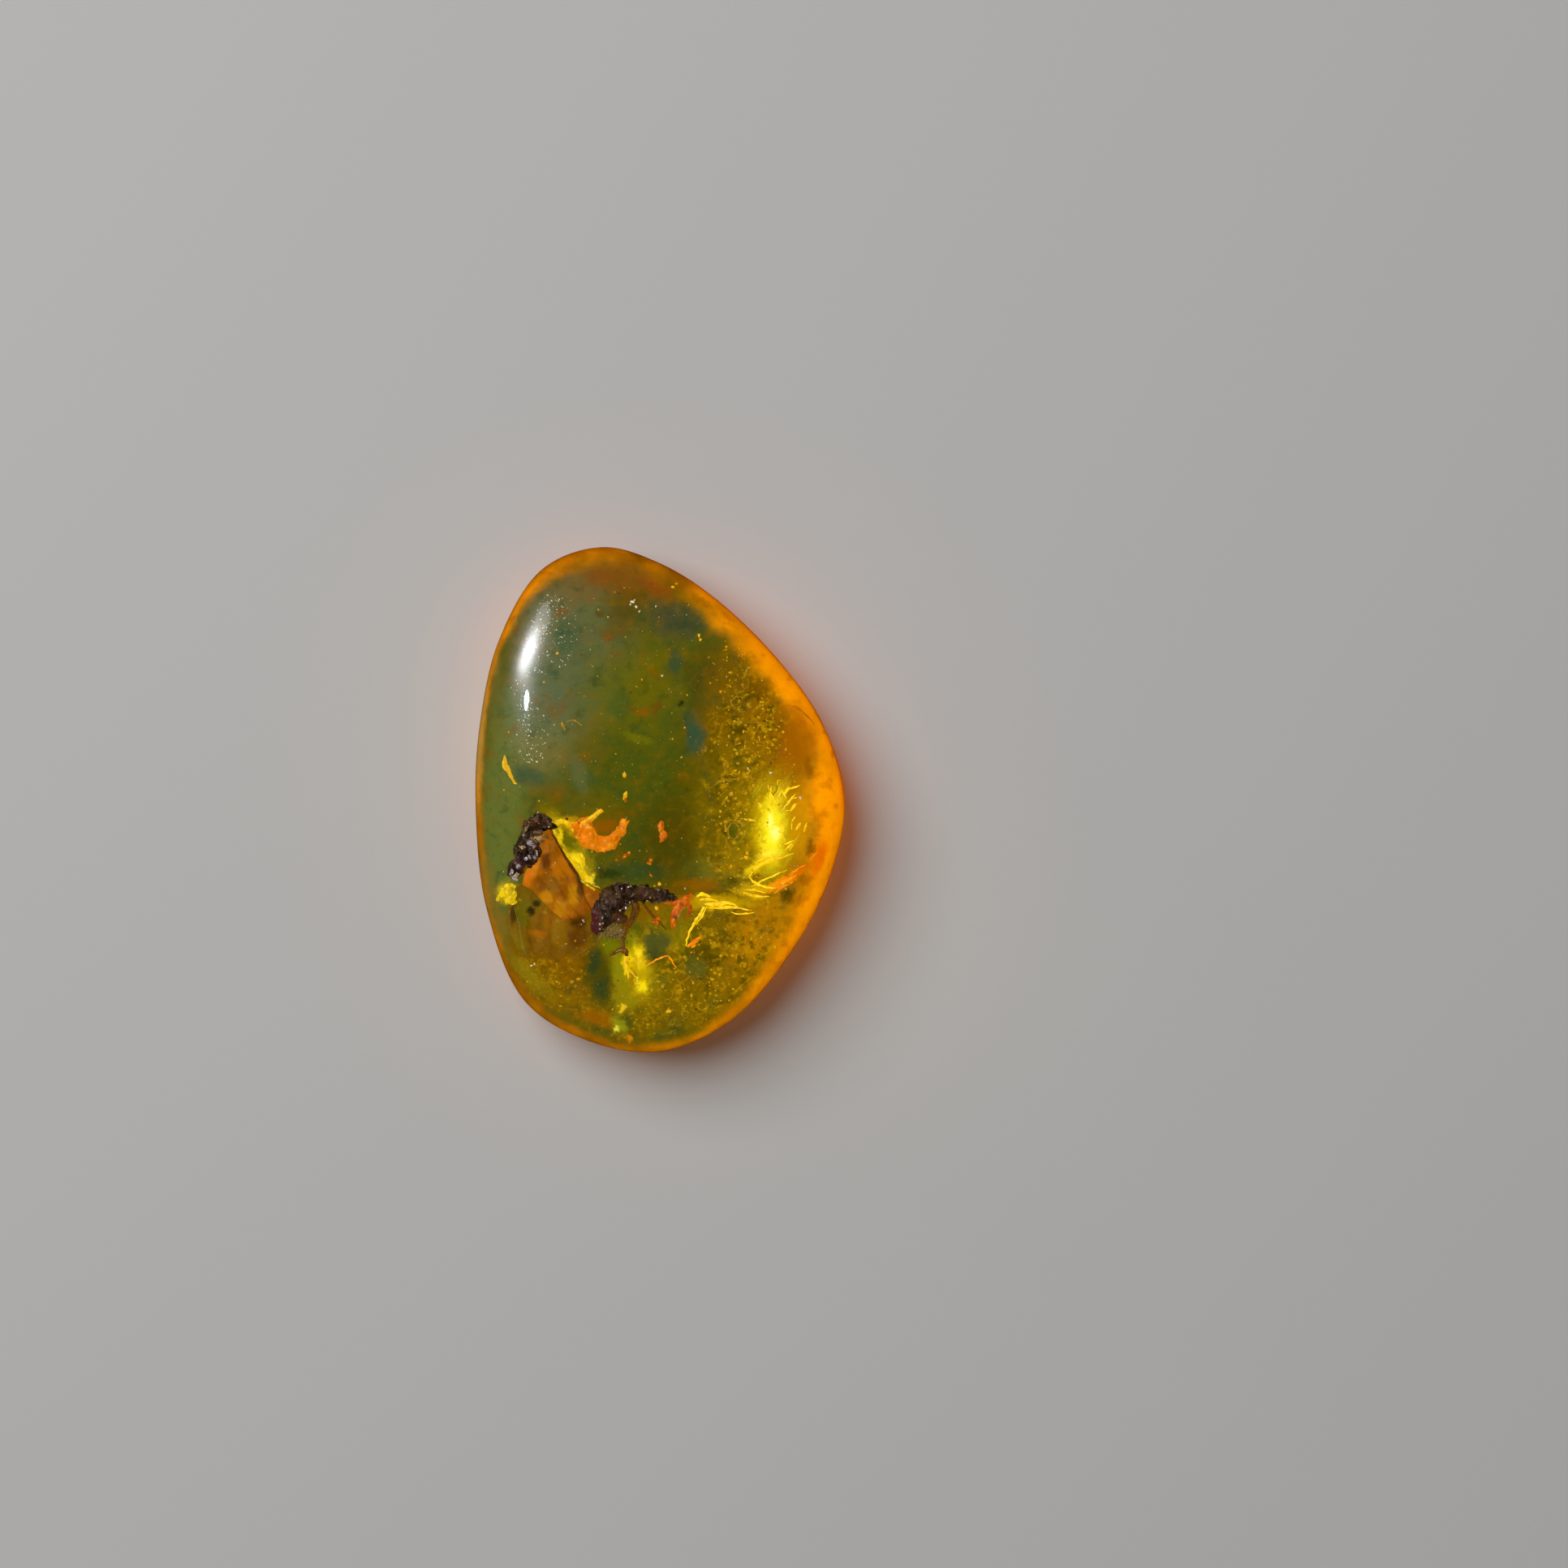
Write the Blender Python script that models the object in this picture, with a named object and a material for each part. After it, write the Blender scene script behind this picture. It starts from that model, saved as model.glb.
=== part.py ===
"""A polished amber pebble with two insects and some plant debris sealed inside.

Frame: metres, +Z up, origin at the centre of the ground flat base, +Y along the pebble.
The inclusions lie on one old resin surface, the bed. The clear solid is parted there in two,
and each half has the pockets that fit them.
"""

import math

import bmesh
import bpy
from mathutils import Matrix, Vector

MM = 0.001

# Driving dimensions of the pebble
HEIGHT = 9.5 * MM
GIRDLE_HEIGHT = 3.0 * MM  # level of the widest outline
UNDER_DEPTH = 3.8 * MM  # depth of the underside before the base is ground flat
DOME_FULLNESS = 2.4  # exponent of the superellipse: 2 is round, more is flatter on top
UNDER_FULLNESS = 2.6
CROWN_SHIFT = Vector((-1.2 * MM, -0.3 * MM))  # the highest point leans to the steep left side
OUTLINE_MM = (
    (10.2, 0.0), (9.0, 4.2), (6.5, 7.8), (3.0, 11.2), (0.0, 13.1), (-3.2, 14.0),
    (-6.5, 12.8), (-8.9, 8.9), (-10.0, 4.0), (-10.2, -0.5), (-9.6, -6.0), (-7.5, -11.1),
    (-4.0, -13.3), (0.0, -13.9), (3.9, -12.2), (6.9, -8.9), (9.3, -4.5),
)
OUTLINE_STEPS = 12
MERIDIANS = 48
LATITUDES = 22

# The bed that holds the inclusions, and the room around them
BED = 5.0 * MM
PARTING_GAP = 0.3 * MM
POCKET_GAP = 0.35 * MM

# Inclusion proportions
WING_THICKNESS = 0.14 * MM
WING_STEPS = 2  # points on a wing's edge for each one given
FLAKE_THICKNESS = 0.2 * MM
SEGMENT_LENGTH_SHARE = 0.8  # a body segment's length and height against its width
SEGMENT_HEIGHT_SHARE = 0.85
KNEE_SHARE = 1.25  # a knee's radius against the leg's there

SMOOTH_BELOW = math.radians(32)


def at(x, y, z=0.0):
    """A place in millimetres from the base's centre, with its height counted from the bed."""
    return Vector((x * MM, y * MM, BED + z * MM))


# ---------------------------------------------------------------- scene and objects


def clear_scene():
    for obj in list(bpy.data.objects):
        bpy.data.objects.remove(obj)


def new_collection(name):
    collection = bpy.data.collections.new(name)
    bpy.context.scene.collection.children.link(collection)
    return collection


def material(name, colour, roughness, transmission=0.0):
    mat = bpy.data.materials.new(name)
    mat.use_nodes = True
    shader = mat.node_tree.nodes["Principled BSDF"]
    shader.inputs["Base Color"].default_value = (*colour, 1)
    shader.inputs["Roughness"].default_value = roughness
    shader.inputs["Metallic"].default_value = 0.0
    shader.inputs["Transmission Weight"].default_value = transmission
    shader.inputs["IOR"].default_value = 1.54
    return mat


def object_from(bm, name, collection, mat=None):
    bmesh.ops.recalc_face_normals(bm, faces=bm.faces)
    mesh = bpy.data.meshes.new(name)
    bm.to_mesh(mesh)
    bm.free()
    mesh.shade_smooth()
    mesh.set_sharp_from_angle(angle=SMOOTH_BELOW)
    obj = bpy.data.objects.new(name, mesh)
    collection.objects.link(obj)
    if mat:
        mesh.materials.append(mat)
    return obj


def as_helper(obj):
    obj.hide_render = True
    obj.display_type = "WIRE"
    return obj


def boolean(obj, operation, tool):
    modifier = obj.modifiers.new(tool.name, "BOOLEAN")
    modifier.operation = operation
    modifier.object = tool


def fused(name, pieces, collection, mat=None):
    """Joins overlapping closed shapes into one solid."""
    body = object_from(pieces[0], name, collection, mat)
    for number, piece in enumerate(pieces[1:]):
        tool = object_from(piece, f"{name}_tool_{number}", construction)
        boolean(body, "UNION", as_helper(tool))
    graph = bpy.context.evaluated_depsgraph_get()
    joined = bpy.data.meshes.new_from_object(body.evaluated_get(graph))
    body.modifiers.clear()
    body.data = joined
    return body


# ---------------------------------------------------------------- the pebble


def closed_spline(points, steps):
    """A smooth closed line through the points: a centripetal Catmull-Rom spline."""
    count = len(points)
    line = []
    for i in range(count):
        p0, p1, p2, p3 = (points[(i + k) % count] for k in (-1, 0, 1, 2))
        t1 = math.sqrt((p1 - p0).length)
        t2 = t1 + math.sqrt((p2 - p1).length)
        t3 = t2 + math.sqrt((p3 - p2).length)
        for step in range(steps):
            t = t1 + (t2 - t1) * step / steps
            a1 = p0.lerp(p1, t / t1)
            a2 = p1.lerp(p2, (t - t1) / (t2 - t1))
            a3 = p2.lerp(p3, (t - t2) / (t3 - t2))
            b1 = a1.lerp(a2, t / t2)
            b2 = a2.lerp(a3, (t - t1) / (t3 - t1))
            line.append(b1.lerp(b2, (t - t1) / (t2 - t1)))
    return line


def outline_radius():
    """The pebble's outline as a function of direction."""
    points = [Vector((x * MM, y * MM)) for x, y in OUTLINE_MM]
    line = sorted((math.atan2(p.y, p.x), p.length) for p in closed_spline(points, OUTLINE_STEPS))
    before = (line[-1][0] - math.tau, line[-1][1])
    after = (line[0][0] + math.tau, line[0][1])
    line = [before, *line, after]

    def radius(direction):
        for (a0, r0), (a1, r1) in zip(line, line[1:]):
            if direction <= a1:
                break
        return r0 + (r1 - r0) * (direction - a0) / (a1 - a0)

    return radius


def cut(bm, place, outward):
    """Cuts off what lies beyond a plane and closes the face it leaves."""
    found = bmesh.ops.bisect_plane(
        bm, geom=bm.verts[:] + bm.edges[:] + bm.faces[:], dist=1e-6,
        plane_co=place, plane_no=outward, clear_outer=True,
    )
    rim = [e for e in found["geom_cut"] if isinstance(e, bmesh.types.BMEdge)]
    bmesh.ops.edgeloop_fill(bm, edges=rim)


def pebble():
    """A sphere drawn out to the outline, domed above the girdle and ground flat below."""
    bm = bmesh.new()
    bmesh.ops.create_uvsphere(bm, u_segments=MERIDIANS, v_segments=LATITUDES, radius=1)
    radius = outline_radius()
    for vert in bm.verts:
        direction = math.atan2(vert.co.y, vert.co.x)
        level = min(1.0, abs(vert.co.z))
        above = vert.co.z >= 0
        fullness = DOME_FULLNESS if above else UNDER_FULLNESS
        rise = HEIGHT - GIRDLE_HEIGHT if above else -UNDER_DEPTH
        share = (1 - level * level) ** (1 / fullness)
        reach = radius(direction) * share
        shift = CROWN_SHIFT * (1 - share)
        vert.co.x = reach * math.cos(direction) + shift.x
        vert.co.y = reach * math.sin(direction) + shift.y
        vert.co.z = GIRDLE_HEIGHT + rise * level
    cut(bm, Vector((0, 0, 0)), Vector((0, 0, -1)))
    return bm


def amber_half(name, side, pockets):
    """The pebble above (side 1) or below (side -1) the bed, less the pockets."""
    bm = pebble()
    cut(bm, Vector((0, 0, BED + side * PARTING_GAP / 2)), Vector((0, 0, -side)))
    half = object_from(bm, name, specimen, AMBER)
    for pocket in pockets:
        boolean(half, "DIFFERENCE", pocket)


# ---------------------------------------------------------------- shapes of the inclusions


class Shaper:
    """Makes the closed shapes of an inclusion, true or grown into the mould of its pocket."""

    def __init__(self, grow, around, along):
        self.grow = grow
        self.around = around
        self.along = along

    def blob(self, centre, radii, axis=(1, 0, 0)):
        """An ellipsoid, its radii in millimetres, with the first one along an axis."""
        bm = bmesh.new()
        bmesh.ops.create_uvsphere(bm, u_segments=self.around, v_segments=self.along, radius=1)
        size = Matrix.Diagonal([r * MM + self.grow for r in radii]).to_4x4()
        turn = Vector(axis).to_track_quat("X", "Z").to_matrix().to_4x4()
        bmesh.ops.transform(bm, matrix=Matrix.Translation(centre) @ turn @ size, verts=bm.verts)
        return bm

    def limb(self, start, end, start_radius, end_radius):
        """A capped tapered tube, its radii in millimetres."""
        bm = bmesh.new()
        run = end - start
        bmesh.ops.create_cone(
            bm, cap_ends=True, segments=self.around, depth=run.length + 2 * self.grow,
            radius1=start_radius * MM + self.grow, radius2=end_radius * MM + self.grow,
        )
        turn = run.to_track_quat("Z", "Y").to_matrix().to_4x4()
        middle = Matrix.Translation((start + end) / 2)
        bmesh.ops.transform(bm, matrix=middle @ turn, verts=bm.verts)
        return bm

    def plate(self, outline, thickness, lean=0.0):
        """A thin wing or flake: an outline on the bed, thickened, and leaning along Y."""
        bm = bmesh.new()
        centre = sum(outline, Vector((0, 0, 0))) / len(outline)
        corners = []
        for point in outline:
            outwards = (point - centre).normalized() * self.grow
            drop = (point.y - centre.y) * lean - thickness / 2 - self.grow
            corners.append(bm.verts.new(point + outwards + Vector((0, 0, drop))))
        face = bm.faces.new(corners)
        lifted = bmesh.ops.extrude_face_region(bm, geom=[face])["geom"]
        raised = [v for v in lifted if isinstance(v, bmesh.types.BMVert)]
        bmesh.ops.translate(bm, vec=(0, 0, thickness + 2 * self.grow), verts=raised)
        bmesh.ops.triangulate(bm, faces=bm.faces)
        return bm

    def segments(self, points, radii):
        """Body segments: one flattened bead at each point, turned along the line."""
        found = []
        for i, (point, radius) in enumerate(zip(points, radii)):
            ahead = points[min(i + 1, len(points) - 1)] - points[max(i - 1, 0)]
            shape = (radius * SEGMENT_LENGTH_SHARE, radius, radius * SEGMENT_HEIGHT_SHARE)
            found.append(self.blob(point, shape, ahead))
        return found

    def leg(self, joints, radii):
        """Thigh, shin and foot as tapered tubes with a knee ball where they meet."""
        found = []
        for (start, end), (r0, r1) in zip(zip(joints, joints[1:]), zip(radii, radii[1:])):
            found.append(self.limb(start, end, r0, r1))
        for joint, radius in zip(joints[1:-1], radii[1:-1]):
            found.append(self.blob(joint, (radius * KNEE_SHARE,) * 3))
        return found


def winged_insect(shaper):
    """Bent body with two swollen eyes, a blunt tail, and both wings laid to one side."""
    thorax = shaper.blob(at(-5.75, -1.15), (0.75, 0.42, 0.5), (0.96, -0.6, 0))
    neck = shaper.blob(at(-6.25, -1.45), (0.62, 0.42, 0.48), (0.35, 0.9, 0))
    trunk = shaper.segments(
        [at(-6.55, -2.05), at(-6.75, -2.6), at(-6.9, -3.15), at(-7.05, -3.65), at(-7.15, -4.05)],
        [0.45, 0.5, 0.44, 0.42, 0.36],
    )
    eyes = [
        shaper.blob(at(-6.2, -2.55, 0.3), (0.26, 0.26, 0.26)),
        shaper.blob(at(-6.15, -2.95, 0.12), (0.28, 0.26, 0.26)),
    ]
    forewing_line = [
        at(-5.2, -1.3), at(-5.05, -2.3), at(-4.15, -3.9), at(-3.62, -5.4), at(-3.8, -6.1),
        at(-4.5, -6.5), at(-5.75, -5.1), at(-6.3, -4.2), at(-6.5, -3.3), at(-6.3, -2.0),
    ]
    hindwing_line = [
        at(-6.2, -2.9, -0.3), at(-5.5, -4.2, -0.3), at(-3.85, -6.3, -0.3), at(-3.9, -7.2, -0.3),
        at(-4.6, -8.0, -0.3), at(-5.6, -8.1, -0.3), at(-6.5, -7.2, -0.3), at(-7.05, -5.4, -0.3),
        at(-6.9, -3.4, -0.3),
    ]
    forewing = shaper.plate(closed_spline(forewing_line, WING_STEPS), WING_THICKNESS, lean=0.05)
    hindwing = shaper.plate(closed_spline(hindwing_line, WING_STEPS), WING_THICKNESS, lean=0.03)
    return [thorax, neck, *trunk, *eyes, forewing, hindwing]


def wingless_insect(shaper):
    """Arched body with a ringed abdomen, four legs and two feelers."""
    head = shaper.blob(at(-3.1, -6.55), (0.5, 0.42, 0.42), (0.5, 0.86, 0))
    thorax = shaper.segments(
        [at(-2.85, -6.05), at(-2.5, -5.55), at(-2.1, -5.1), at(-1.65, -4.85)],
        [0.6, 0.66, 0.6, 0.5],
    )
    ring_radii = [0.42, 0.38, 0.36, 0.35, 0.33, 0.31, 0.26, 0.17]
    ring_places = [at(-1.2 + 0.27 * i, -4.8 - 0.028 * i) for i in range(len(ring_radii))]
    abdomen = shaper.segments(ring_places, ring_radii)
    front_leg = shaper.leg(
        [at(-2.4, -6.1, -0.1), at(-1.95, -6.9, 0.0), at(-1.8, -7.7, 0.05), at(-2.4, -7.9, 0.1)],
        [0.24, 0.16, 0.13, 0.1],
    )
    middle_leg = shaper.leg(
        [at(-1.5, -5.0, -0.1), at(-0.7, -5.85, 0.0), at(0.2, -6.55, -0.1)],
        [0.14, 0.12, 0.07],
    )
    hind_leg = shaper.leg(
        [at(-1.2, -4.95, -0.2), at(1.38, -5.05, 0.0), at(1.0, -5.8, 0.1), at(0.64, -6.6, 0.1)],
        [0.13, 0.17, 0.2, 0.1],
    )
    far_leg = shaper.leg(
        [at(0.5, -5.0, -0.15), at(2.3, -5.5, -0.1), at(1.6, -6.6, -0.1), at(1.3, -7.4, -0.15)],
        [0.1, 0.12, 0.1, 0.07],
    )
    feelers = [
        shaper.limb(at(-3.2, -6.8, 0.1), at(-3.45, -7.45, 0.2), 0.07, 0.05),
        shaper.limb(at(-3.0, -6.8, 0.1), at(-2.9, -7.6, 0.2), 0.07, 0.05),
    ]
    return [head, *thorax, *abdomen, *front_leg, *middle_leg, *hind_leg, *far_leg, *feelers]


def bark_flake(shaper):
    """A curled scrap of bark, like an open hand."""
    outline = [
        at(-4.15, -1.5), at(-3.75, -1.3), at(-3.6, -1.75), at(-3.3, -2.05), at(-2.95, -1.85),
        at(-2.5, -1.35), at(-2.35, -1.6), at(-2.6, -2.3), at(-3.2, -2.6), at(-3.75, -2.35),
    ]
    return [shaper.plate(outline, FLAKE_THICKNESS, lean=0.1)]


def plant_splinter(shaper):
    return [shaper.limb(at(-3.95, -0.95, 0.05), at(-2.9, -0.35, 0.15), 0.11, 0.14)]


def small_flake(shaper):
    outline = [at(0.0, -1.3), at(0.2, -1.2), at(0.22, -1.8), at(0.12, -2.25), at(-0.08, -2.2)]
    return [shaper.plate(outline, FLAKE_THICKNESS)]


def side_splinter(shaper):
    return [shaper.limb(at(-7.75, 2.2), at(-7.3, 1.2, 0.05), 0.13, 0.07)]


# ---------------------------------------------------------------- the specimen

clear_scene()
specimen = new_collection("insect_in_amber")
construction = new_collection("construction")

AMBER = material("amber", (0.85, 0.42, 0.03), 0.03, transmission=1.0)
INSECT_BROWN = material("insect_brown", (0.16, 0.06, 0.03), 0.35)
INSECT_BLACK = material("insect_black", (0.05, 0.025, 0.02), 0.3)
BARK_ORANGE = material("bark_orange", (0.75, 0.25, 0.02), 0.5)
SPLINTER_GOLD = material("splinter_gold", (0.8, 0.5, 0.05), 0.5)

INCLUSIONS = (
    (winged_insect, INSECT_BROWN),
    (wingless_insect, INSECT_BLACK),
    (bark_flake, BARK_ORANGE),
    (plant_splinter, SPLINTER_GOLD),
    (small_flake, BARK_ORANGE),
    (side_splinter, SPLINTER_GOLD),
)
true_form = Shaper(grow=0.0, around=10, along=6)
mould_form = Shaper(grow=POCKET_GAP, around=7, along=4)

moulds = []
for shape, finish in INCLUSIONS:
    fused(shape.__name__, shape(true_form), specimen, finish)
    mould = fused(f"{shape.__name__}_mould", shape(mould_form), construction)
    moulds.append(as_helper(mould))

amber_half("amber_upper", 1, moulds)
amber_half("amber_lower", -1, moulds)
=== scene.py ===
"""Looks of a polished amber pebble with two insects and plant debris sealed inside.

Lengths are in metres, unless a name ends in _MM or a note says mm. Places inside the pebble
are given in frame units: where they show in a frame 1932 units wide, seen from straight above.
The line of sight is followed down through the polished dome to the wanted depth.
"""

import math
import random

import bmesh
import bpy
from mathutils import Matrix, Quaternion, Vector, noise
from mathutils.bvhtree import BVHTree


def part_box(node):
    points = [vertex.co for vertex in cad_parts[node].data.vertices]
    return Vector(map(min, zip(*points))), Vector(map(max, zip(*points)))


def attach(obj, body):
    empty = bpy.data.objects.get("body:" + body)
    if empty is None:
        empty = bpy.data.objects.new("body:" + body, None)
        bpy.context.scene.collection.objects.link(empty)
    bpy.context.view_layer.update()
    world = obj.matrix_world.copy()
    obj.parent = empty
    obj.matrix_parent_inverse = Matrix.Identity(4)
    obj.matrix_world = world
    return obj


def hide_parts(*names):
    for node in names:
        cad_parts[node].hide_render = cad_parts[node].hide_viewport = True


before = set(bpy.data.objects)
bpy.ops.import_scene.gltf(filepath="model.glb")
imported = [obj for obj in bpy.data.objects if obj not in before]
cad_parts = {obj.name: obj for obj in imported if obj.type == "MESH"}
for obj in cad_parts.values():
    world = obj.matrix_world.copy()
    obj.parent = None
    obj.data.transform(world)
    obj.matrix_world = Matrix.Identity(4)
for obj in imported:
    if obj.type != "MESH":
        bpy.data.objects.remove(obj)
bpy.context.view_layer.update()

MM = 0.001
NOISE_SEED = 5
noise.seed_set(NOISE_SEED)

# ---------------------------------------------------------------- the pebble's measures

AMBER_IOR = 1.54
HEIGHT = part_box("amber_upper")[1][2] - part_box("amber_lower")[0][2]
GIRDLE_HEIGHT = 3.0 * MM
UNDER_DEPTH = 3.8 * MM
DOME_FULLNESS = 2.4
UNDER_FULLNESS = 2.6
CROWN_SHIFT = Vector((-1.2 * MM, -0.3 * MM))
OUTLINE_MM = (
    (10.2, 0.0), (9.0, 4.2), (6.5, 7.8), (3.0, 11.2), (0.0, 13.1), (-3.2, 14.0),
    (-6.5, 12.8), (-8.9, 8.9), (-10.0, 4.0), (-10.2, -0.5), (-9.6, -6.0), (-7.5, -11.1),
    (-4.0, -13.3), (0.0, -13.9), (3.9, -12.2), (6.9, -8.9), (9.3, -4.5),
)
OUTLINE_STEPS = 24  # points between two of the outline's
BED = 5.0 * MM  # the height at which the insects and the debris lie

# ---------------------------------------------------------------- the camera

FRAME_WIDTH = 1932
PEBBLE_LENGTH = 28.0 * MM
PEBBLE_SHOWN = 624  # the pebble's length in frame units
UNIT = PEBBLE_LENGTH / PEBBLE_SHOWN  # one frame unit at the girdle
STONE_MIDDLE = (813.5, 986.0)  # where the origin shows, in frame units
CAMERA_DISTANCE = 241.0 * MM
CAMERA_NEAREST = 0.01
LENS_MM = 100.0
SENSOR_MM = 36.0


def flat_place(u, v, height=GIRDLE_HEIGHT):
    """The place that shows at (u, v) if nothing bends the view, at the girdle's scale."""
    return Vector(((u - STONE_MIDDLE[0]) * UNIT, (STONE_MIDDLE[1] - v) * UNIT, height))


EYE = flat_place(FRAME_WIDTH / 2, FRAME_WIDTH / 2, GIRDLE_HEIGHT + CAMERA_DISTANCE)

# ---------------------------------------------------------------- node writing

MIX_FACTOR, MIX_A, MIX_B, MIX_RESULT = 0, 6, 7, 2  # a colour Mix node's sockets by number
TURN_STEP = math.radians(15)
RATIO_STEP = 0.75  # of the power of two between an oval's half sizes
FLATTENED = 1e6  # a scale that takes all height out of a place


class Term:
    """A node's output, usable in Python arithmetic."""

    def __init__(self, tree, output):
        self.tree = tree
        self.output = output

    def math(self, operation, *operands):
        return self.tree.node("ShaderNodeMath", {"operation": operation}, enumerate(operands))

    def __add__(self, other):
        return self.math("ADD", self, other)

    __radd__ = __add__

    def __sub__(self, other):
        return self.math("SUBTRACT", self, other)

    def __rsub__(self, other):
        return self.math("SUBTRACT", other, self)

    def __mul__(self, other):
        return self.math("MULTIPLY", self, other)

    __rmul__ = __mul__

    def __pow__(self, other):
        return self.math("POWER", self, other)

    def most(self, other):
        return self.math("MAXIMUM", self, other)

    def ramp(self, low, high):
        """0 below low, 1 above high (or the other way round), eased between."""
        return self.tree.node(
            "ShaderNodeMapRange", {"interpolation_type": "SMOOTHSTEP", "clamp": True},
            {"Value": self, "From Min": low, "From Max": high},
        )


class Tree:
    """Writes a node tree. Its textures are read at the place, where it has one."""

    place = None

    def __init__(self, tree):
        self.nodes = tree.nodes
        self.links = tree.links

    def put(self, socket, value):
        if isinstance(value, Term):
            self.links.new(value.output, socket)
        elif isinstance(value, tuple) and socket.type == "RGBA" and len(value) == 3:
            socket.default_value = (*value, 1)
        else:
            socket.default_value = value

    def node(self, kind, settings=None, inputs=(), output=0):
        """Makes a node: its settings first, then the values or links of its sockets."""
        made = self.nodes.new(kind)
        for setting, value in (settings or {}).items():
            setattr(made, setting, value)
        for socket, value in dict(inputs).items():
            self.put(made.inputs[socket], value)
        return Term(self, made.outputs[output])

    def vector(self, operation, *operands, output=0):
        return self.node(
            "ShaderNodeVectorMath", {"operation": operation}, enumerate(operands), output
        )

    def noise(self, scale, detail=3.0, roughness=0.55, place=None, output="Fac"):
        """Smooth noise with about this many lumps to the metre."""
        sockets = {"Scale": scale, "Detail": detail, "Roughness": roughness}
        if place or self.place:
            sockets["Vector"] = place or self.place
        return self.node("ShaderNodeTexNoise", None, sockets, output)

    def drift(self, scale, detail, roughness=0.55):
        """A noise vector from about -0.5 to 0.5 on each axis."""
        colour = self.noise(scale, detail, roughness, output="Color")
        return self.vector("SUBTRACT", colour, (0.5, 0.5, 0.5))


class Finish(Tree):
    """A material built around one Principled shader."""

    def __init__(self, name, **sockets):
        self.material = bpy.data.materials.new(name)
        self.material.use_nodes = True
        super().__init__(self.material.node_tree)
        self.shader = self.nodes["Principled BSDF"]
        self.place = self.node("ShaderNodeTexCoord", output="Object")
        self.leanings = {}
        for socket, value in sockets.items():
            self.put(self.shader.inputs[socket.replace("_", " ")], value)

    def feed(self, socket, value):
        self.put(self.shader.inputs[socket], value)

    def cells(self, scale, feature, place):
        return self.node(
            "ShaderNodeTexVoronoi", {"feature": feature}, {"Vector": place, "Scale": scale},
            "Distance",
        )

    def attribute(self, name):
        return self.node("ShaderNodeAttribute", {"attribute_name": name}, output="Fac")

    def mix(self, factor, a, b):
        return self.node(
            "ShaderNodeMix", {"data_type": "RGBA", "clamp_factor": True},
            {MIX_FACTOR: factor, MIX_A: a, MIX_B: b}, MIX_RESULT,
        )

    def wobbly(self, reach, scale, detail=5.0, roughness=0.6):
        """The place, pushed about by up to half of reach."""
        push = self.vector("MULTIPLY", self.drift(scale, detail, roughness), (reach,) * 3)
        return self.vector("ADD", self.place, push)

    def leaned(self, place, turn, ratio):
        """The place seen from above, turned and squeezed so that leaning ovals become discs."""
        if (place, turn, ratio) not in self.leanings:
            self.leanings[place, turn, ratio] = self.node(
                "ShaderNodeMapping", {"vector_type": "TEXTURE"},
                {"Vector": place, "Rotation": (0.0, 0.0, turn), "Scale": (ratio, 1.0, FLATTENED)},
            )
        return self.leanings[place, turn, ratio]

    def spot(self, centre, radii, turn, soft, place):
        """1 inside an upright oval column round a centre, fading to 0 outside it.

        Its turn and the ratio of its radii are rounded, so that many spots share a squeezed place.
        """
        turn = round(turn / TURN_STEP) * TURN_STEP
        ratio = 2.0 ** (round(math.log2(radii[0] / radii[1]) / RATIO_STEP) * RATIO_STEP)
        middle = Matrix.Rotation(-turn, 2) @ Vector(centre[:2])
        middle = (middle.x / ratio, middle.y, 0.0)
        radius = math.sqrt(radii[0] * radii[1] / ratio)
        reach = self.vector(
            "DISTANCE", self.leaned(place, turn, ratio), middle, output="Value"
        )
        return reach.ramp(radius * (1.0 + soft), radius * (1.0 - soft))

    def bump(self, height, distance):
        """Height 0 to 1 raises the surface by distance."""
        self.feed("Normal", self.node(
            "ShaderNodeBump", None, {"Height": height, "Distance": distance},
        ))

    def shine(self, colour, strength):
        """The colour reflects light and emits strength of it, to stand for light in the amber."""
        self.feed("Base Color", colour)
        self.feed("Emission Color", colour)
        self.feed("Emission Strength", strength)


# ---------------------------------------------------------------- mesh helpers


def spline(points, steps, closed=False):
    """A smooth line through the points: a centripetal Catmull-Rom spline."""
    points = [Vector(point) for point in points]
    if not closed:
        points = [2 * points[0] - points[1], *points, 2 * points[-1] - points[-2]]
    count = len(points)
    line = []
    for i in range(count if closed else count - 3):
        p0, p1, p2, p3 = (points[(i + k) % count] for k in range(4))
        t1 = math.sqrt((p1 - p0).length)
        t2 = t1 + math.sqrt((p2 - p1).length)
        t3 = t2 + math.sqrt((p3 - p2).length)
        for step in range(steps):
            t = t1 + (t2 - t1) * step / steps
            a1 = p0.lerp(p1, t / t1)
            a2 = p1.lerp(p2, (t - t1) / (t2 - t1))
            a3 = p2.lerp(p3, (t - t2) / (t3 - t2))
            b1 = a1.lerp(a2, t / t2)
            b2 = a2.lerp(a3, (t - t1) / (t3 - t1))
            line.append(b1.lerp(b2, (t - t1) / (t2 - t1)))
    return line if closed else [*line, points[-2]]


def along(values, share):
    """The value or point at a share, 0 to 1, of the way through evenly spaced ones."""
    place = share * (len(values) - 1)
    i = min(int(place), len(values) - 2)
    return values[i] + (values[i + 1] - values[i]) * (place - i)


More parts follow.
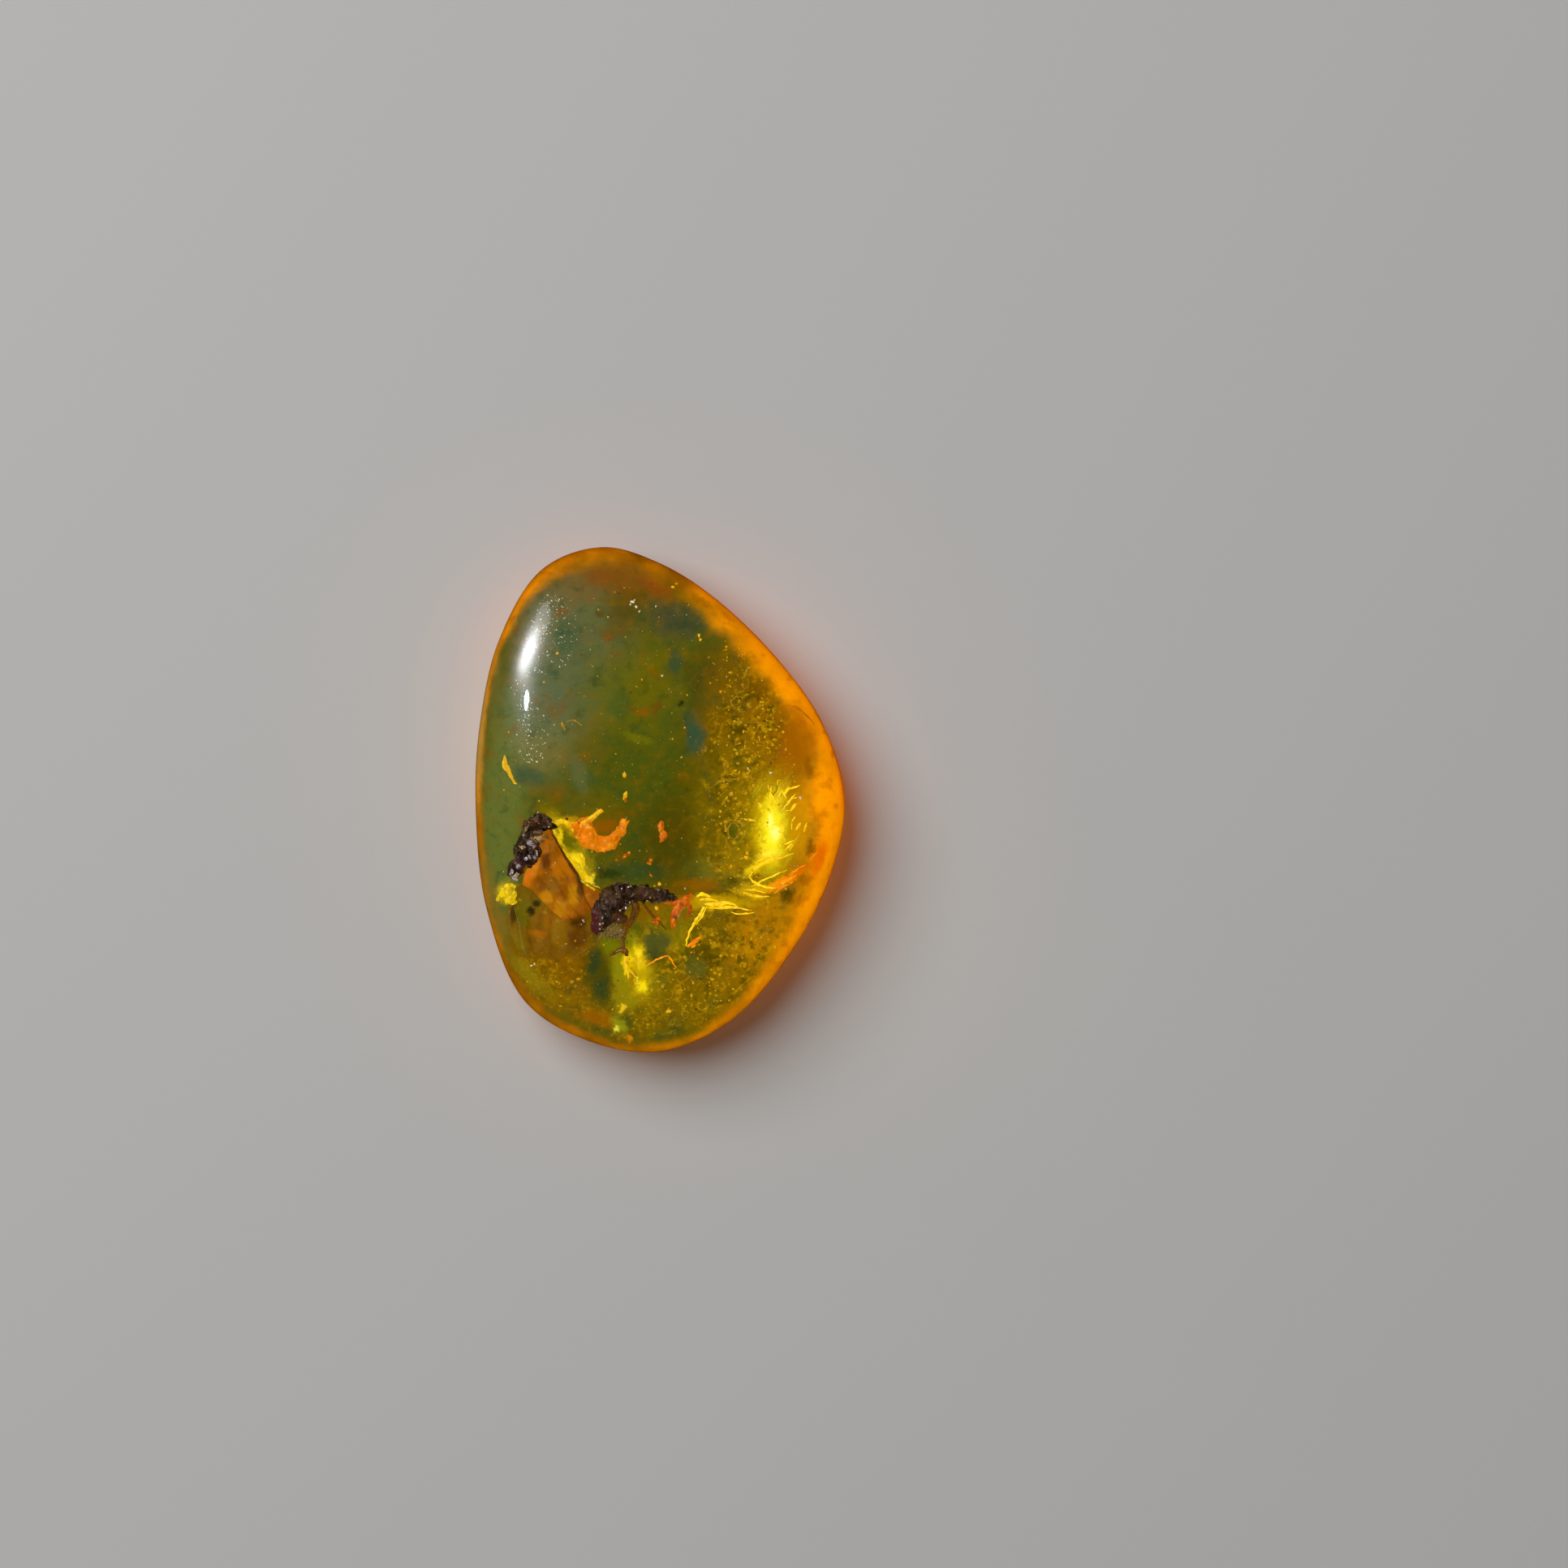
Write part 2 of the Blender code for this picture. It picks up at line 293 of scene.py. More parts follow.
def ringed(bm, meridians, latitudes, place):
    """A closed form of rings: place(meridian, angle of latitude) gives each point."""
    rings = []
    for j in range(1, latitudes):
        latitude = math.pi / 2 - math.pi * j / latitudes
        rings.append([bm.verts.new(place(i, latitude)) for i in range(meridians)])
    top = bm.verts.new(place(0, math.pi / 2))
    bottom = bm.verts.new(place(0, -math.pi / 2))
    for upper, lower in zip(rings, rings[1:]):
        for i in range(meridians):
            k = (i + 1) % meridians
            bm.faces.new((upper[i], lower[i], lower[k], upper[k]))
    for i in range(meridians):
        k = (i + 1) % meridians
        bm.faces.new((top, rings[0][i], rings[0][k]))
        bm.faces.new((bottom, rings[-1][k], rings[-1][i]))
    return [top, bottom, *(vert for ring in rings for vert in ring)]


BLOB_MERIDIANS = 14
BLOB_LATITUDES = 8


def blob(bm, centre, radii, turn=0.0):
    """A rounded lump: its half sizes along, across and up, turned about the upright."""
    place = Matrix.Translation(centre) @ Matrix.Rotation(turn, 4, "Z")
    place = place @ Matrix.Diagonal((*radii, 1.0))

    def point(i, latitude):
        direction = math.pi / 2 + math.tau * i / BLOB_MERIDIANS
        level = math.cos(latitude)
        x, y = level * math.cos(direction), level * math.sin(direction)
        return place @ Vector((x, y, math.sin(latitude)))

    return ringed(bm, BLOB_MERIDIANS, BLOB_LATITUDES, point)


def swept(bm, line, radii, around=8, flat=1.0):
    """A closed tube along a line: its radii at even steps, squeezed in height by flat."""
    rings = []
    last = len(line) - 1
    for i, point in enumerate(line):
        forward = (line[min(i + 1, last)] - line[max(i - 1, 0)]).normalized()
        side = forward.cross(Vector((0, 0, 1))).normalized()
        rise = side.cross(forward) * flat
        radius = along(radii, i / last)
        angles = [math.tau * k / around for k in range(around)]
        rings.append([
            bm.verts.new(point + (side * math.cos(a) + rise * math.sin(a)) * radius) for a in angles
        ])
    for ring, following in zip(rings, rings[1:]):
        for k in range(around):
            j = (k + 1) % around
            bm.faces.new((ring[k], ring[j], following[j], following[k]))
    bm.faces.new(rings[0][::-1])
    bm.faces.new(rings[-1])
    return [vert for ring in rings for vert in ring]


def crumpled(verts, reach, size, seed=0.0):
    """Pushes points about by smooth noise with lumps of about a size."""
    for vert in verts:
        vert.co += noise.noise_vector(vert.co / size + Vector((seed, 0, 0))) * reach


SHEET_ROWS = 70
SHEET_COLUMNS = 36
EDGE_STEPS = 12  # points between two of an edge line's


def sheet(bm, left, right, rise, thickness):
    """A thin closed sheet between two edge lines.

    rise(across, down) gives its lift and the values kept in the points' "vein" and "fade"
    attributes: how dark a vein is there and how far the sheet has thinned out, from 0 to 1.
    """
    vein_layer = bm.verts.layers.float.new("vein")
    fade_layer = bm.verts.layers.float.new("fade")
    left = spline(left, EDGE_STEPS)
    right = spline(right, EDGE_STEPS)
    rows, columns = range(SHEET_ROWS), range(SHEET_COLUMNS)
    layers = []
    for sink in (0.0, thickness):
        layer = []
        for j in range(SHEET_ROWS + 1):
            down = j / SHEET_ROWS
            start, end = along(left, down), along(right, down)
            row = []
            for i in range(SHEET_COLUMNS + 1):
                across = i / SHEET_COLUMNS
                lift, vein, fade = rise(across, down)
                vert = bm.verts.new(start.lerp(end, across) + Vector((0, 0, lift - sink)))
                vert[vein_layer] = vein
                vert[fade_layer] = fade
                row.append(vert)
            layer.append(row)
        layers.append(layer)
    top, bottom = layers
    for j in rows:
        for i in columns:
            bm.faces.new((top[j][i], top[j + 1][i], top[j + 1][i + 1], top[j][i + 1]))
            bm.faces.new((bottom[j][i], bottom[j][i + 1], bottom[j + 1][i + 1], bottom[j + 1][i]))
    edge = [(0, i) for i in columns] + [(j, SHEET_COLUMNS) for j in rows]
    edge += [(SHEET_ROWS, i + 1) for i in reversed(columns)] + [(j + 1, 0) for j in reversed(rows)]
    for (j, i), (m, n) in zip(edge, edge[1:] + edge[:1]):
        bm.faces.new((top[j][i], top[m][n], bottom[m][n], bottom[j][i]))
    return [vert for layer in layers for row in layer for vert in row]


def finished(name, bm, finish, slot, replaces=()):
    """Turns a bmesh into a smooth piece that rides on the pebble."""
    bmesh.ops.recalc_face_normals(bm, faces=bm.faces)
    mesh = bpy.data.meshes.new(name)
    bm.to_mesh(mesh)
    bm.free()
    mesh.shade_smooth()
    return settled(name, mesh, finish, slot, replaces)


def settled(name, mesh, finish, slot, replaces=()):
    """Puts a finished mesh in the scene as a piece of the pebble."""
    piece = bpy.data.objects.new(name, mesh)
    bpy.context.scene.collection.objects.link(piece)
    mesh.materials.clear()
    mesh.materials.append(finish.material)
    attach(piece, "root")
    if replaces:
        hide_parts(*replaces)
    return piece


# ---------------------------------------------------------------- the pebble's form


def radius_table(count):
    """The outline's radius in evenly spaced directions, starting at -180 degrees."""
    points = [Vector((x * MM, y * MM, 0)) for x, y in OUTLINE_MM]
    line = spline(points, OUTLINE_STEPS, closed=True)
    line = sorted((math.atan2(p.y, p.x), p.length) for p in line)
    line = [(line[-1][0] - math.tau, line[-1][1]), *line, (line[0][0] + math.tau, line[0][1])]
    table = []
    k = 0
    for i in range(count):
        direction = -math.pi + math.tau * i / count
        while line[k + 1][0] < direction:
            k += 1
        (a0, r0), (a1, r1) = line[k], line[k + 1]
        table.append(r0 + (r1 - r0) * (direction - a0) / (a1 - a0))
    return table


def turned_form(meridians, latitudes, place):
    """A closed form of rings in a bmesh of its own."""
    bm = bmesh.new()
    ringed(bm, meridians, latitudes, place)
    bm.normal_update()
    return bm


STONE_MERIDIANS = 360
STONE_LATITUDES = 220
stone_radii = radius_table(STONE_MERIDIANS)


def stone_point(i, latitude):
    level = abs(math.sin(latitude))
    above = latitude >= 0
    share = math.cos(latitude) ** (2 / (DOME_FULLNESS if above else UNDER_FULLNESS))
    rise = HEIGHT - GIRDLE_HEIGHT if above else -UNDER_DEPTH
    direction = -math.pi + math.tau * i / STONE_MERIDIANS
    reach = stone_radii[i] * share
    shift = CROWN_SHIFT * (1 - share)
    x = reach * math.cos(direction) + shift.x
    y = reach * math.sin(direction) + shift.y
    return Vector((x, y, max(GIRDLE_HEIGHT + rise * level, 0.0)))


stone_form = turned_form(STONE_MERIDIANS, STONE_LATITUDES, stone_point)
stone_sight = BVHTree.FromBMesh(stone_form)


def sight(u, v):
    """Where the line of sight at (u, v) enters the dome, and its bent direction inside."""
    ray = (flat_place(u, v) - EYE).normalized()
    entry, normal, _, _ = stone_sight.ray_cast(EYE, ray)
    if normal.dot(ray) > 0:
        normal = -normal
    ratio = 1 / AMBER_IOR
    slant = -normal.dot(ray)
    inward = math.sqrt(1 - ratio * ratio * (1 - slant * slant))
    return entry, ray * ratio + normal * (ratio * slant - inward)


def seen(u, v, height=BED):
    """The place at a height inside the pebble that shows at (u, v) in the frame."""
    entry, inner = sight(u, v)
    return entry + inner * ((height - entry.z) / inner.z)


def under_dome(u, v, depth=0.0):
    """The place at a depth below the dome's skin that shows at (u, v)."""
    entry, inner = sight(u, v)
    return entry + inner * depth


# ---------------------------------------------------------------- the cloudy core's form

CORE_TOP = 4.45 * MM
CORE_FLOOR = 0.45 * MM
CORE_FULLNESS = 5.0
CORE_RELIEF = 0.1 * MM
CORE_LUMP = 1.3 * MM
CORE_INSET = 0.5 * MM
# The orange rim painted on the cloudy core is painted light, the glow of light through the amber's
# edge. RIM_LIGHT is how bright that painted glow is in each direction, brightest on the right.
RIM_WIDTHS = (
    (-180, 1.3), (-150, 1.2), (-130, 1.3), (-110, 1.12), (-90, 1.12), (-75, 1.35), (-60, 1.75),
    (-45, 1.85), (-30, 2.1), (-15, 2.5), (0, 3.1), (15, 2.2), (30, 1.8), (45, 2.2), (60, 2.2),
    (75, 2.1), (90, 1.85), (110, 1.6), (130, 1.35), (150, 1.25), (180, 1.3),
)
RIM_LIGHT = (
    (-180, 0.38), (-150, 0.35), (-130, 0.35), (-110, 0.3), (-90, 0.42), (-75, 0.48), (-60, 0.62),
    (-45, 0.68), (-20, 0.8), (0, 0.92), (15, 0.78), (30, 0.8), (45, 0.8), (60, 0.66), (75, 0.6),
    (90, 0.2), (110, 0.42), (130, 0.72), (150, 0.74), (180, 0.45),
)
RIM_SEAT = 2.2 * MM  # the rim is widest below this height
RIM_SLOPE = 0.4  # and narrows by this share of the height above it
EDGE_HEIGHTS = ((-180, 1.2), (-100, 1.4), (-45, 2.6), (0, 3.4), (45, 3.2), (110, 3.2), (180, 1.2))
EDGE_SEAT = 2.2 * MM
# How strong the edge's orange is in each direction: partly painted glow of light through the rim,
# strongest on the right
EDGE_TINT_AND_GLOW = (
    (-180, 0.72), (-140, 0.8), (-100, 0.95), (-60, 1.0), (100, 1.0), (135, 0.8), (180, 0.72),
)
CORE_MERIDIANS = 320
CORE_LATITUDES = 180
core_radii = radius_table(CORE_MERIDIANS)


def eased(table, direction):
    """A value between those given for some directions in degrees."""
    degrees = math.degrees(direction)
    for (a0, v0), (a1, v1) in zip(table, table[1:]):
        if degrees <= a1:
            break
    share = (degrees - a0) / (a1 - a0)
    share = share * share * (3 - 2 * share)
    return v0 + (v1 - v0) * share


def core_point(i, latitude):
    above = latitude >= 0
    share = math.cos(latitude) ** (2 / (CORE_FULLNESS if above else UNDER_FULLNESS))
    direction = -math.pi + math.tau * i / CORE_MERIDIANS
    reach = (core_radii[i] - CORE_INSET) * share
    rise = CORE_TOP - GIRDLE_HEIGHT if above else CORE_FLOOR - GIRDLE_HEIGHT
    z = GIRDLE_HEIGHT + rise * abs(math.sin(latitude))
    point = Vector((reach * math.cos(direction), reach * math.sin(direction), z))
    return point + noise.noise_vector(point / CORE_LUMP) * CORE_RELIEF


core_form = turned_form(CORE_MERIDIANS, CORE_LATITUDES, core_point)
core_sight = BVHTree.FromBMesh(core_form)


def over_core(u, v, lift=0.0):
    """The place on the cloudy core, or a lift short of it, that shows at (u, v)."""
    entry, inner = sight(u, v)
    hit = core_sight.ray_cast(entry, inner)[0]
    if hit is None:
        return seen(u, v, GIRDLE_HEIGHT)
    return hit - inner * lift


def mark_rim(core):
    """Stores how far into the painted orange rim each point lies and how bright the rim is there. The
    rim is painted light: the glow of light coming through the amber's edge.
    """
    rim = core.data.attributes.new("rim", "FLOAT", "POINT")
    light = core.data.attributes.new("rim_light", "FLOAT", "POINT")
    for vert in core.data.vertices:
        direction = math.atan2(vert.co.y, vert.co.x)
        i = int((direction + math.pi) / math.tau * CORE_MERIDIANS) % CORE_MERIDIANS
        edge = core_radii[i] - CORE_INSET
        inwards = edge - math.hypot(vert.co.x, vert.co.y)
        inwards += max(0.0, vert.co.z - RIM_SEAT) * RIM_SLOPE
        width = eased(RIM_WIDTHS, direction) * MM
        rim.data[vert.index].value = 1 - min(1.0, inwards / (2 * width))
        light.data[vert.index].value = eased(RIM_LIGHT, direction)


def mark_edge(stone):
    """Stores how deep the orange of the thin edge is: 1 below the girdle, 0 up on the dome. The
    orange is partly the amber's own tint and partly painted light, the glow of light through the rim.
    """
    edge = stone.data.attributes.new("edge", "FLOAT", "POINT")
    for vert in stone.data.vertices:
        direction = math.atan2(vert.co.y, vert.co.x)
        top = GIRDLE_HEIGHT + eased(EDGE_HEIGHTS, direction) * MM
        depth = min(1.0, max(0.0, (top - vert.co.z) / (top - EDGE_SEAT)))
        edge.data[vert.index].value = depth * eased(EDGE_TINT_AND_GLOW, direction)


# ---------------------------------------------------------------- finishes


def paint(red, green, blue):
    """A shader colour from the 0 to 255 values that it shows as."""
    return tuple((value / 255) ** 2.2 for value in (red, green, blue))


HAZE = ((658, 816), (62, 130), -15)  # where the skin is dulled beside the highlights
ABSORPTION = 70.0


def patch(finish, spot, size, turn, soft, place, where=over_core):
    """A soft oval patch that shows at a spot of the frame."""
    radii = (size[0] * UNIT, size[1] * UNIT)
    return finish.spot(where(*spot), radii, math.radians(turn), soft, place)


def patched(finish, colour, patches, soft, place, where=over_core):
    """Lays soft patches over a colour."""
    for shade, spot, size, turn, strength in patches:
        mask = patch(finish, spot, size, turn, soft, place, where) * strength
        colour = finish.mix(mask, colour, paint(*shade))
    return colour


def amber_finish():
    amber = Finish(
        "clear_amber", Transmission_Weight=1.0, IOR=AMBER_IOR, Roughness=0.03, Coat_Roughness=0.27
    )
    # The edge's orange tint: the amber's colour, and partly painted glow of light through the rim
    edge = amber.attribute("edge").ramp(0.0, 1.0)
    amber.feed("Base Color", amber.mix(edge, (0.99, 0.98, 0.93), (1.0, 0.6, 0.05)))
    amber.feed("Coat Weight", patch(amber, *HAZE, 0.9, amber.place, under_dome))
    amber.bump(amber.noise(700.0, 3.0), 0.006 * MM)
    absorption = amber.node("ShaderNodeVolumeAbsorption", None, {
        "Color": (1.0, 0.9, 0.5), "Density": ABSORPTION,
    })
    amber.put(amber.nodes["Material Output"].inputs["Volume"], absorption)
    return amber


# Patches: shade, where each shows, its half sizes in frame units, turn in degrees and strength
BROAD_PATCHES = (
    # the upper half: brown under the crown, grey-green haze, painted paler beside the highlights as
    # their sheen
    ((132, 88, 38), (742, 712), (70, 26), 8, 0.75),
    ((136, 86, 24), (790, 722), (56, 16), -24, 0.7),
    ((116, 114, 78), (690, 772), (44, 52), -20, 0.8),
    ((126, 128, 80), (655, 900), (34, 60), 0, 0.75),
    ((96, 106, 66), (726, 800), (46, 50), 0, 0.7),
    ((98, 112, 80), (684, 862), (38, 44), 0, 0.8),
    ((78, 82, 54), (828, 762), (30, 22), -20, 0.8),
    ((100, 76, 26), (772, 752), (24, 22), 20, 0.6),
    ((104, 106, 24), (776, 856), (56, 44), 0, 0.7),
    ((72, 72, 26), (874, 850), (26, 50), 0, 0.7),
    ((108, 122, 58), (616, 1000), (24, 136), 0, 0.9),
    # the dark middle and the shade behind the insects
    ((86, 92, 20), (800, 960), (70, 60), 0, 0.6),
    ((84, 74, 10), (838, 1040), (52, 52), 0, 0.85),
    ((92, 86, 12), (866, 960), (30, 60), 0, 0.7),
    ((116, 116, 38), (884, 1078), (34, 17), -8, 0.85),
    # golden and orange parts on the right
    ((132, 98, 8), (910, 850), (30, 96), -22, 0.9),
    ((156, 106, 6), (950, 880), (34, 90), -20, 0.9),
    ((170, 102, 5), (980, 905), (26, 66), -14, 0.85),
    ((146, 118, 8), (918, 1000), (42, 90), 0, 0.85),
    ((196, 138, 8), (980, 990), (24, 40), 0, 0.7),
    ((196, 142, 8), (972, 1044), (26, 34), 0, 0.8),
    ((186, 112, 6), (994, 1080), (18, 34), -25, 0.85),
    # the lower half
    ((142, 96, 6), (690, 1190), (60, 60), 0, 0.9),
    ((146, 116, 16), (664, 1212), (26, 16), -45, 0.7),
    ((136, 106, 8), (895, 1175), (74, 64), 30, 0.9),
    ((208, 140, 8), (946, 1146), (34, 50), -30, 0.85),
    ((156, 114, 8), (900, 1222), (34, 18), 25, 0.7),
    ((138, 110, 8), (820, 1245), (96, 34), 0, 0.85),
    ((144, 112, 12), (800, 1128), (38, 20), 0, 0.85),
    ((144, 136, 18), (830, 1156), (24, 26), 0, 0.7),
    ((164, 142, 14), (792, 1196), (26, 34), 0, 0.8),
)
SMALL_PATCHES = (
    # smudges and teal depths of the upper half
    ((142, 78, 28), (738, 711), (14, 8), 0, 0.5),
    ((150, 80, 24), (808, 722), (22, 7), -25, 0.7),
    ((104, 84, 30), (756, 780), (15, 9), 0, 0.5),
    ((146, 86, 24), (750, 786), (4, 4), 0, 0.8),
    ((124, 86, 40), (692, 754), (6, 5), 30, 0.8),
    ((148, 88, 18), (792, 877), (6, 3), 10, 0.7),
    ((118, 120, 18), (786, 909), (16, 4), -10, 0.6),
    ((122, 78, 20), (778, 874), (6, 3), 0, 0.8),
    ((112, 72, 26), (809, 872), (4, 7), -30, 0.6),
    ((98, 62, 18), (738, 757), (5, 4), 0, 0.6),
    ((72, 96, 68), (697, 786), (13, 21), 0, 0.65),
    ((58, 82, 54), (832, 816), (9, 15), 0, 0.8),
    ((66, 92, 42), (763, 870), (10, 18), 0, 0.6),
    ((72, 80, 54), (838, 764), (20, 15), -30, 0.75),
    ((66, 86, 54), (852, 896), (8, 20), 10, 0.75),
    ((58, 88, 68), (857, 908), (10, 20), 4, 0.8),
    ((40, 44, 12), (838, 867), (2.6, 2.4), 0, 0.9),
    ((64, 92, 64), (650, 956), (16, 12), -15, 0.75),
    ((102, 112, 72), (712, 952), (9, 20), 12, 0.6),
    # shade by the insects
    ((62, 80, 38), (770, 1074), (44, 10), 4, 0.85),
    ((52, 62, 22), (746, 1077), (16, 7), 0, 0.85),
    ((96, 92, 20), (736, 1060), (16, 8), 0, 0.7),
    ((150, 96, 8), (862, 1090), (22, 7), 0, 0.8),
    ((146, 92, 10), (743, 1019), (13, 10), 0, 0.85),
    ((164, 132, 14), (905, 1062), (14, 14), 0, 0.6),
    # darker spots among the gold
    ((82, 92, 20), (904, 1024), (7, 11), 0, 0.85),
    ((92, 96, 16), (922, 1020), (7, 10), 0, 0.7),
    ((104, 96, 12), (947, 1080), (9, 7), 0, 0.9),
    ((112, 84, 10), (890, 1104), (22, 7), 0, 0.7),
    ((88, 66, 8), (972, 1105), (8, 8), 0, 0.9),
    ((112, 72, 6), (988, 1112), (6, 10), 0, 0.6),
    ((214, 150, 12), (944, 822), (16, 12), 20, 0.6),
    ((126, 84, 8), (938, 848), (12, 12), 0, 0.7),
    ((148, 104, 10), (800, 1124), (9, 6), 20, 0.75),
    ((96, 104, 22), (784, 1146), (7, 9), 0, 0.7),
    ((150, 150, 22), (778, 1160), (6, 10), 0, 0.7),
    ((120, 96, 10), (826, 1136), (8, 7), 0, 0.7),
    # lobes, the dark cleft and the heart below the wingless insect
    ((120, 126, 14), (752, 1168), (14, 12), 0, 0.95),
    ((150, 148, 22), (762, 1194), (12, 16), 0, 0.9),
    ((158, 144, 20), (768, 1226), (14, 20), 0, 0.8),
    ((80, 78, 18), (736, 1196), (13, 28), 6, 0.92),
    ((72, 78, 26), (742, 1224), (9, 18), -8, 0.9),
    ((50, 70, 42), (733, 1186), (6, 14), 0, 0.75),
    ((54, 70, 38), (741, 1218), (6, 12), 0, 0.75),
    ((86, 92, 42), (802, 1163), (8, 11), 0, 0.95),
    ((86, 92, 42), (817, 1160), (8, 10), 0, 0.95),
    ((76, 82, 36), (808, 1174), (8, 8), 0, 0.95),
    ((98, 100, 38), (856, 1192), (14, 12), 0, 0.8),
    ((166, 100, 8), (738, 1256), (22, 9), -15, 0.75),
    ((82, 90, 26), (771, 1258), (10, 8), 0, 0.85),
)
# Patches over the rim's painted glow of light
RIM_PATCHES = (
    ((188, 158, 78), (593, 880), (10, 95), 0, 0.65),
    ((150, 118, 44), (606, 1110), (11, 60), 12, 0.6),
    ((136, 80, 6), (999, 1043), (6, 8), 0, 0.9),
    ((190, 110, 6), (997, 915), (12, 36), -14, 0.6),
    ((146, 88, 6), (996, 946), (6, 8), 0, 0.7),
    ((218, 100, 6), (1010, 1058), (8, 22), -15, 0.8),
    ((160, 96, 6), (992, 1084), (9, 6), 0, 0.7),
    ((150, 92, 8), (866, 742), (14, 5), -35, 0.7),
    ((150, 132, 26), (648, 1198), (10, 26), 45, 0.6),
    ((224, 152, 8), (985, 1018), (11, 32), 0, 0.75),
    ((180, 106, 6), (978, 905), (12, 40), -14, 0.7),
    ((120, 112, 50), (609, 850), (9, 46), 0, 0.6),
)
# Glowing patches, where light gathers
GLOW_PATCHES = (
    ((190, 158, 12), (950, 1022), (27, 48), 0, 0.55),
    ((224, 196, 18), (950, 1024), (18, 40), 0, 0.8),
    ((253, 242, 40), (952, 1024), (12, 31), 6, 0.95),
    ((255, 253, 130), (950.5, 1012), (3.6, 6), 0, 0.95),
    ((255, 253, 140), (955.5, 1027), (4, 6), -15, 0.95),
    ((252, 242, 70), (945, 1053), (9, 4), 20, 0.9),
    ((236, 206, 24), (930, 1068), (17, 5), 45, 0.8),
    ((206, 172, 20), (938, 1094), (22, 4), 0, 0.8),
    ((216, 172, 20), (924, 1102), (15, 4), -15, 0.8),
    ((240, 146, 10), (966, 1086), (20, 5), 35, 0.85),
    ((216, 104, 8), (984, 1074), (16, 4), 35, 0.8),
    ((196, 168, 16), (788, 1200), (10, 28), 0, 0.7),
    ((238, 208, 18), (774, 1186), (5, 15), 0, 0.85),
    ((240, 216, 24), (787, 1178), (5, 12), 15, 0.9),
    ((246, 220, 24), (791, 1216), (7, 9), 0, 0.9),
    ((150, 100, 10), (778, 1205), (2.2, 9), 0, 0.85),
    ((138, 140, 26), (762, 1262), (7, 10), 25, 0.85),
    ((232, 226, 70), (759, 1269), (3, 4), 0, 0.9),
    ((236, 196, 36), (768, 1243), (3, 4), 0, 0.8),
    ((222, 136, 10), (774, 1280), (4, 6), 20, 0.8),
    ((202, 166, 14), (884, 1112), (38, 8), 0, 0.75),
    # the sunlit folds between the winged insect and the bark, with a hollow among them
    ((196, 168, 16), (700, 1042), (13, 36), 28, 0.85),
    ((232, 174, 14), (706, 1018), (13, 8), -20, 0.85),
    ((224, 134, 12), (722, 1030), (8, 10), 0, 0.7),
    ((90, 92, 14), (702, 1036), (7, 18), 25, 0.95),
    ((250, 222, 34), (711, 1064), (7, 13), 25, 0.85),
    ((240, 210, 30), (688, 1032), (4, 16), 15, 0.8),
    ((250, 226, 50), (727, 1084), (5, 5), 0, 0.9),
    ((220, 186, 24), (624, 1100), (10, 11), 0, 0.75),
)
# Grainy golden fields, their bright flecks and bubbles painted glints: where each shows, half sizes,
# turn and strength
GOLD_NET = (
    ((925, 900), (38, 110), -18, 1.0), ((925, 1040), (44, 70), 0, 1.0),
    ((885, 1190), (80, 60), 30, 0.95), ((690, 1198), (50, 46), 0, 0.5),
    ((800, 1246), (90, 30), 0, 0.6), ((800, 1140), (26, 22), 0, 0.45),
)
GLOW_FIELD = ((958, 1026), (36, 62))
LIGHT_STREAK_TURN = math.radians(60)
LIT_SHARE = 0.5  # of the cloud's colour that it shows by reflected light
GLOW_SHARE = 0.68  # of the cloud's colour that it emits, to stand for light scattered in it


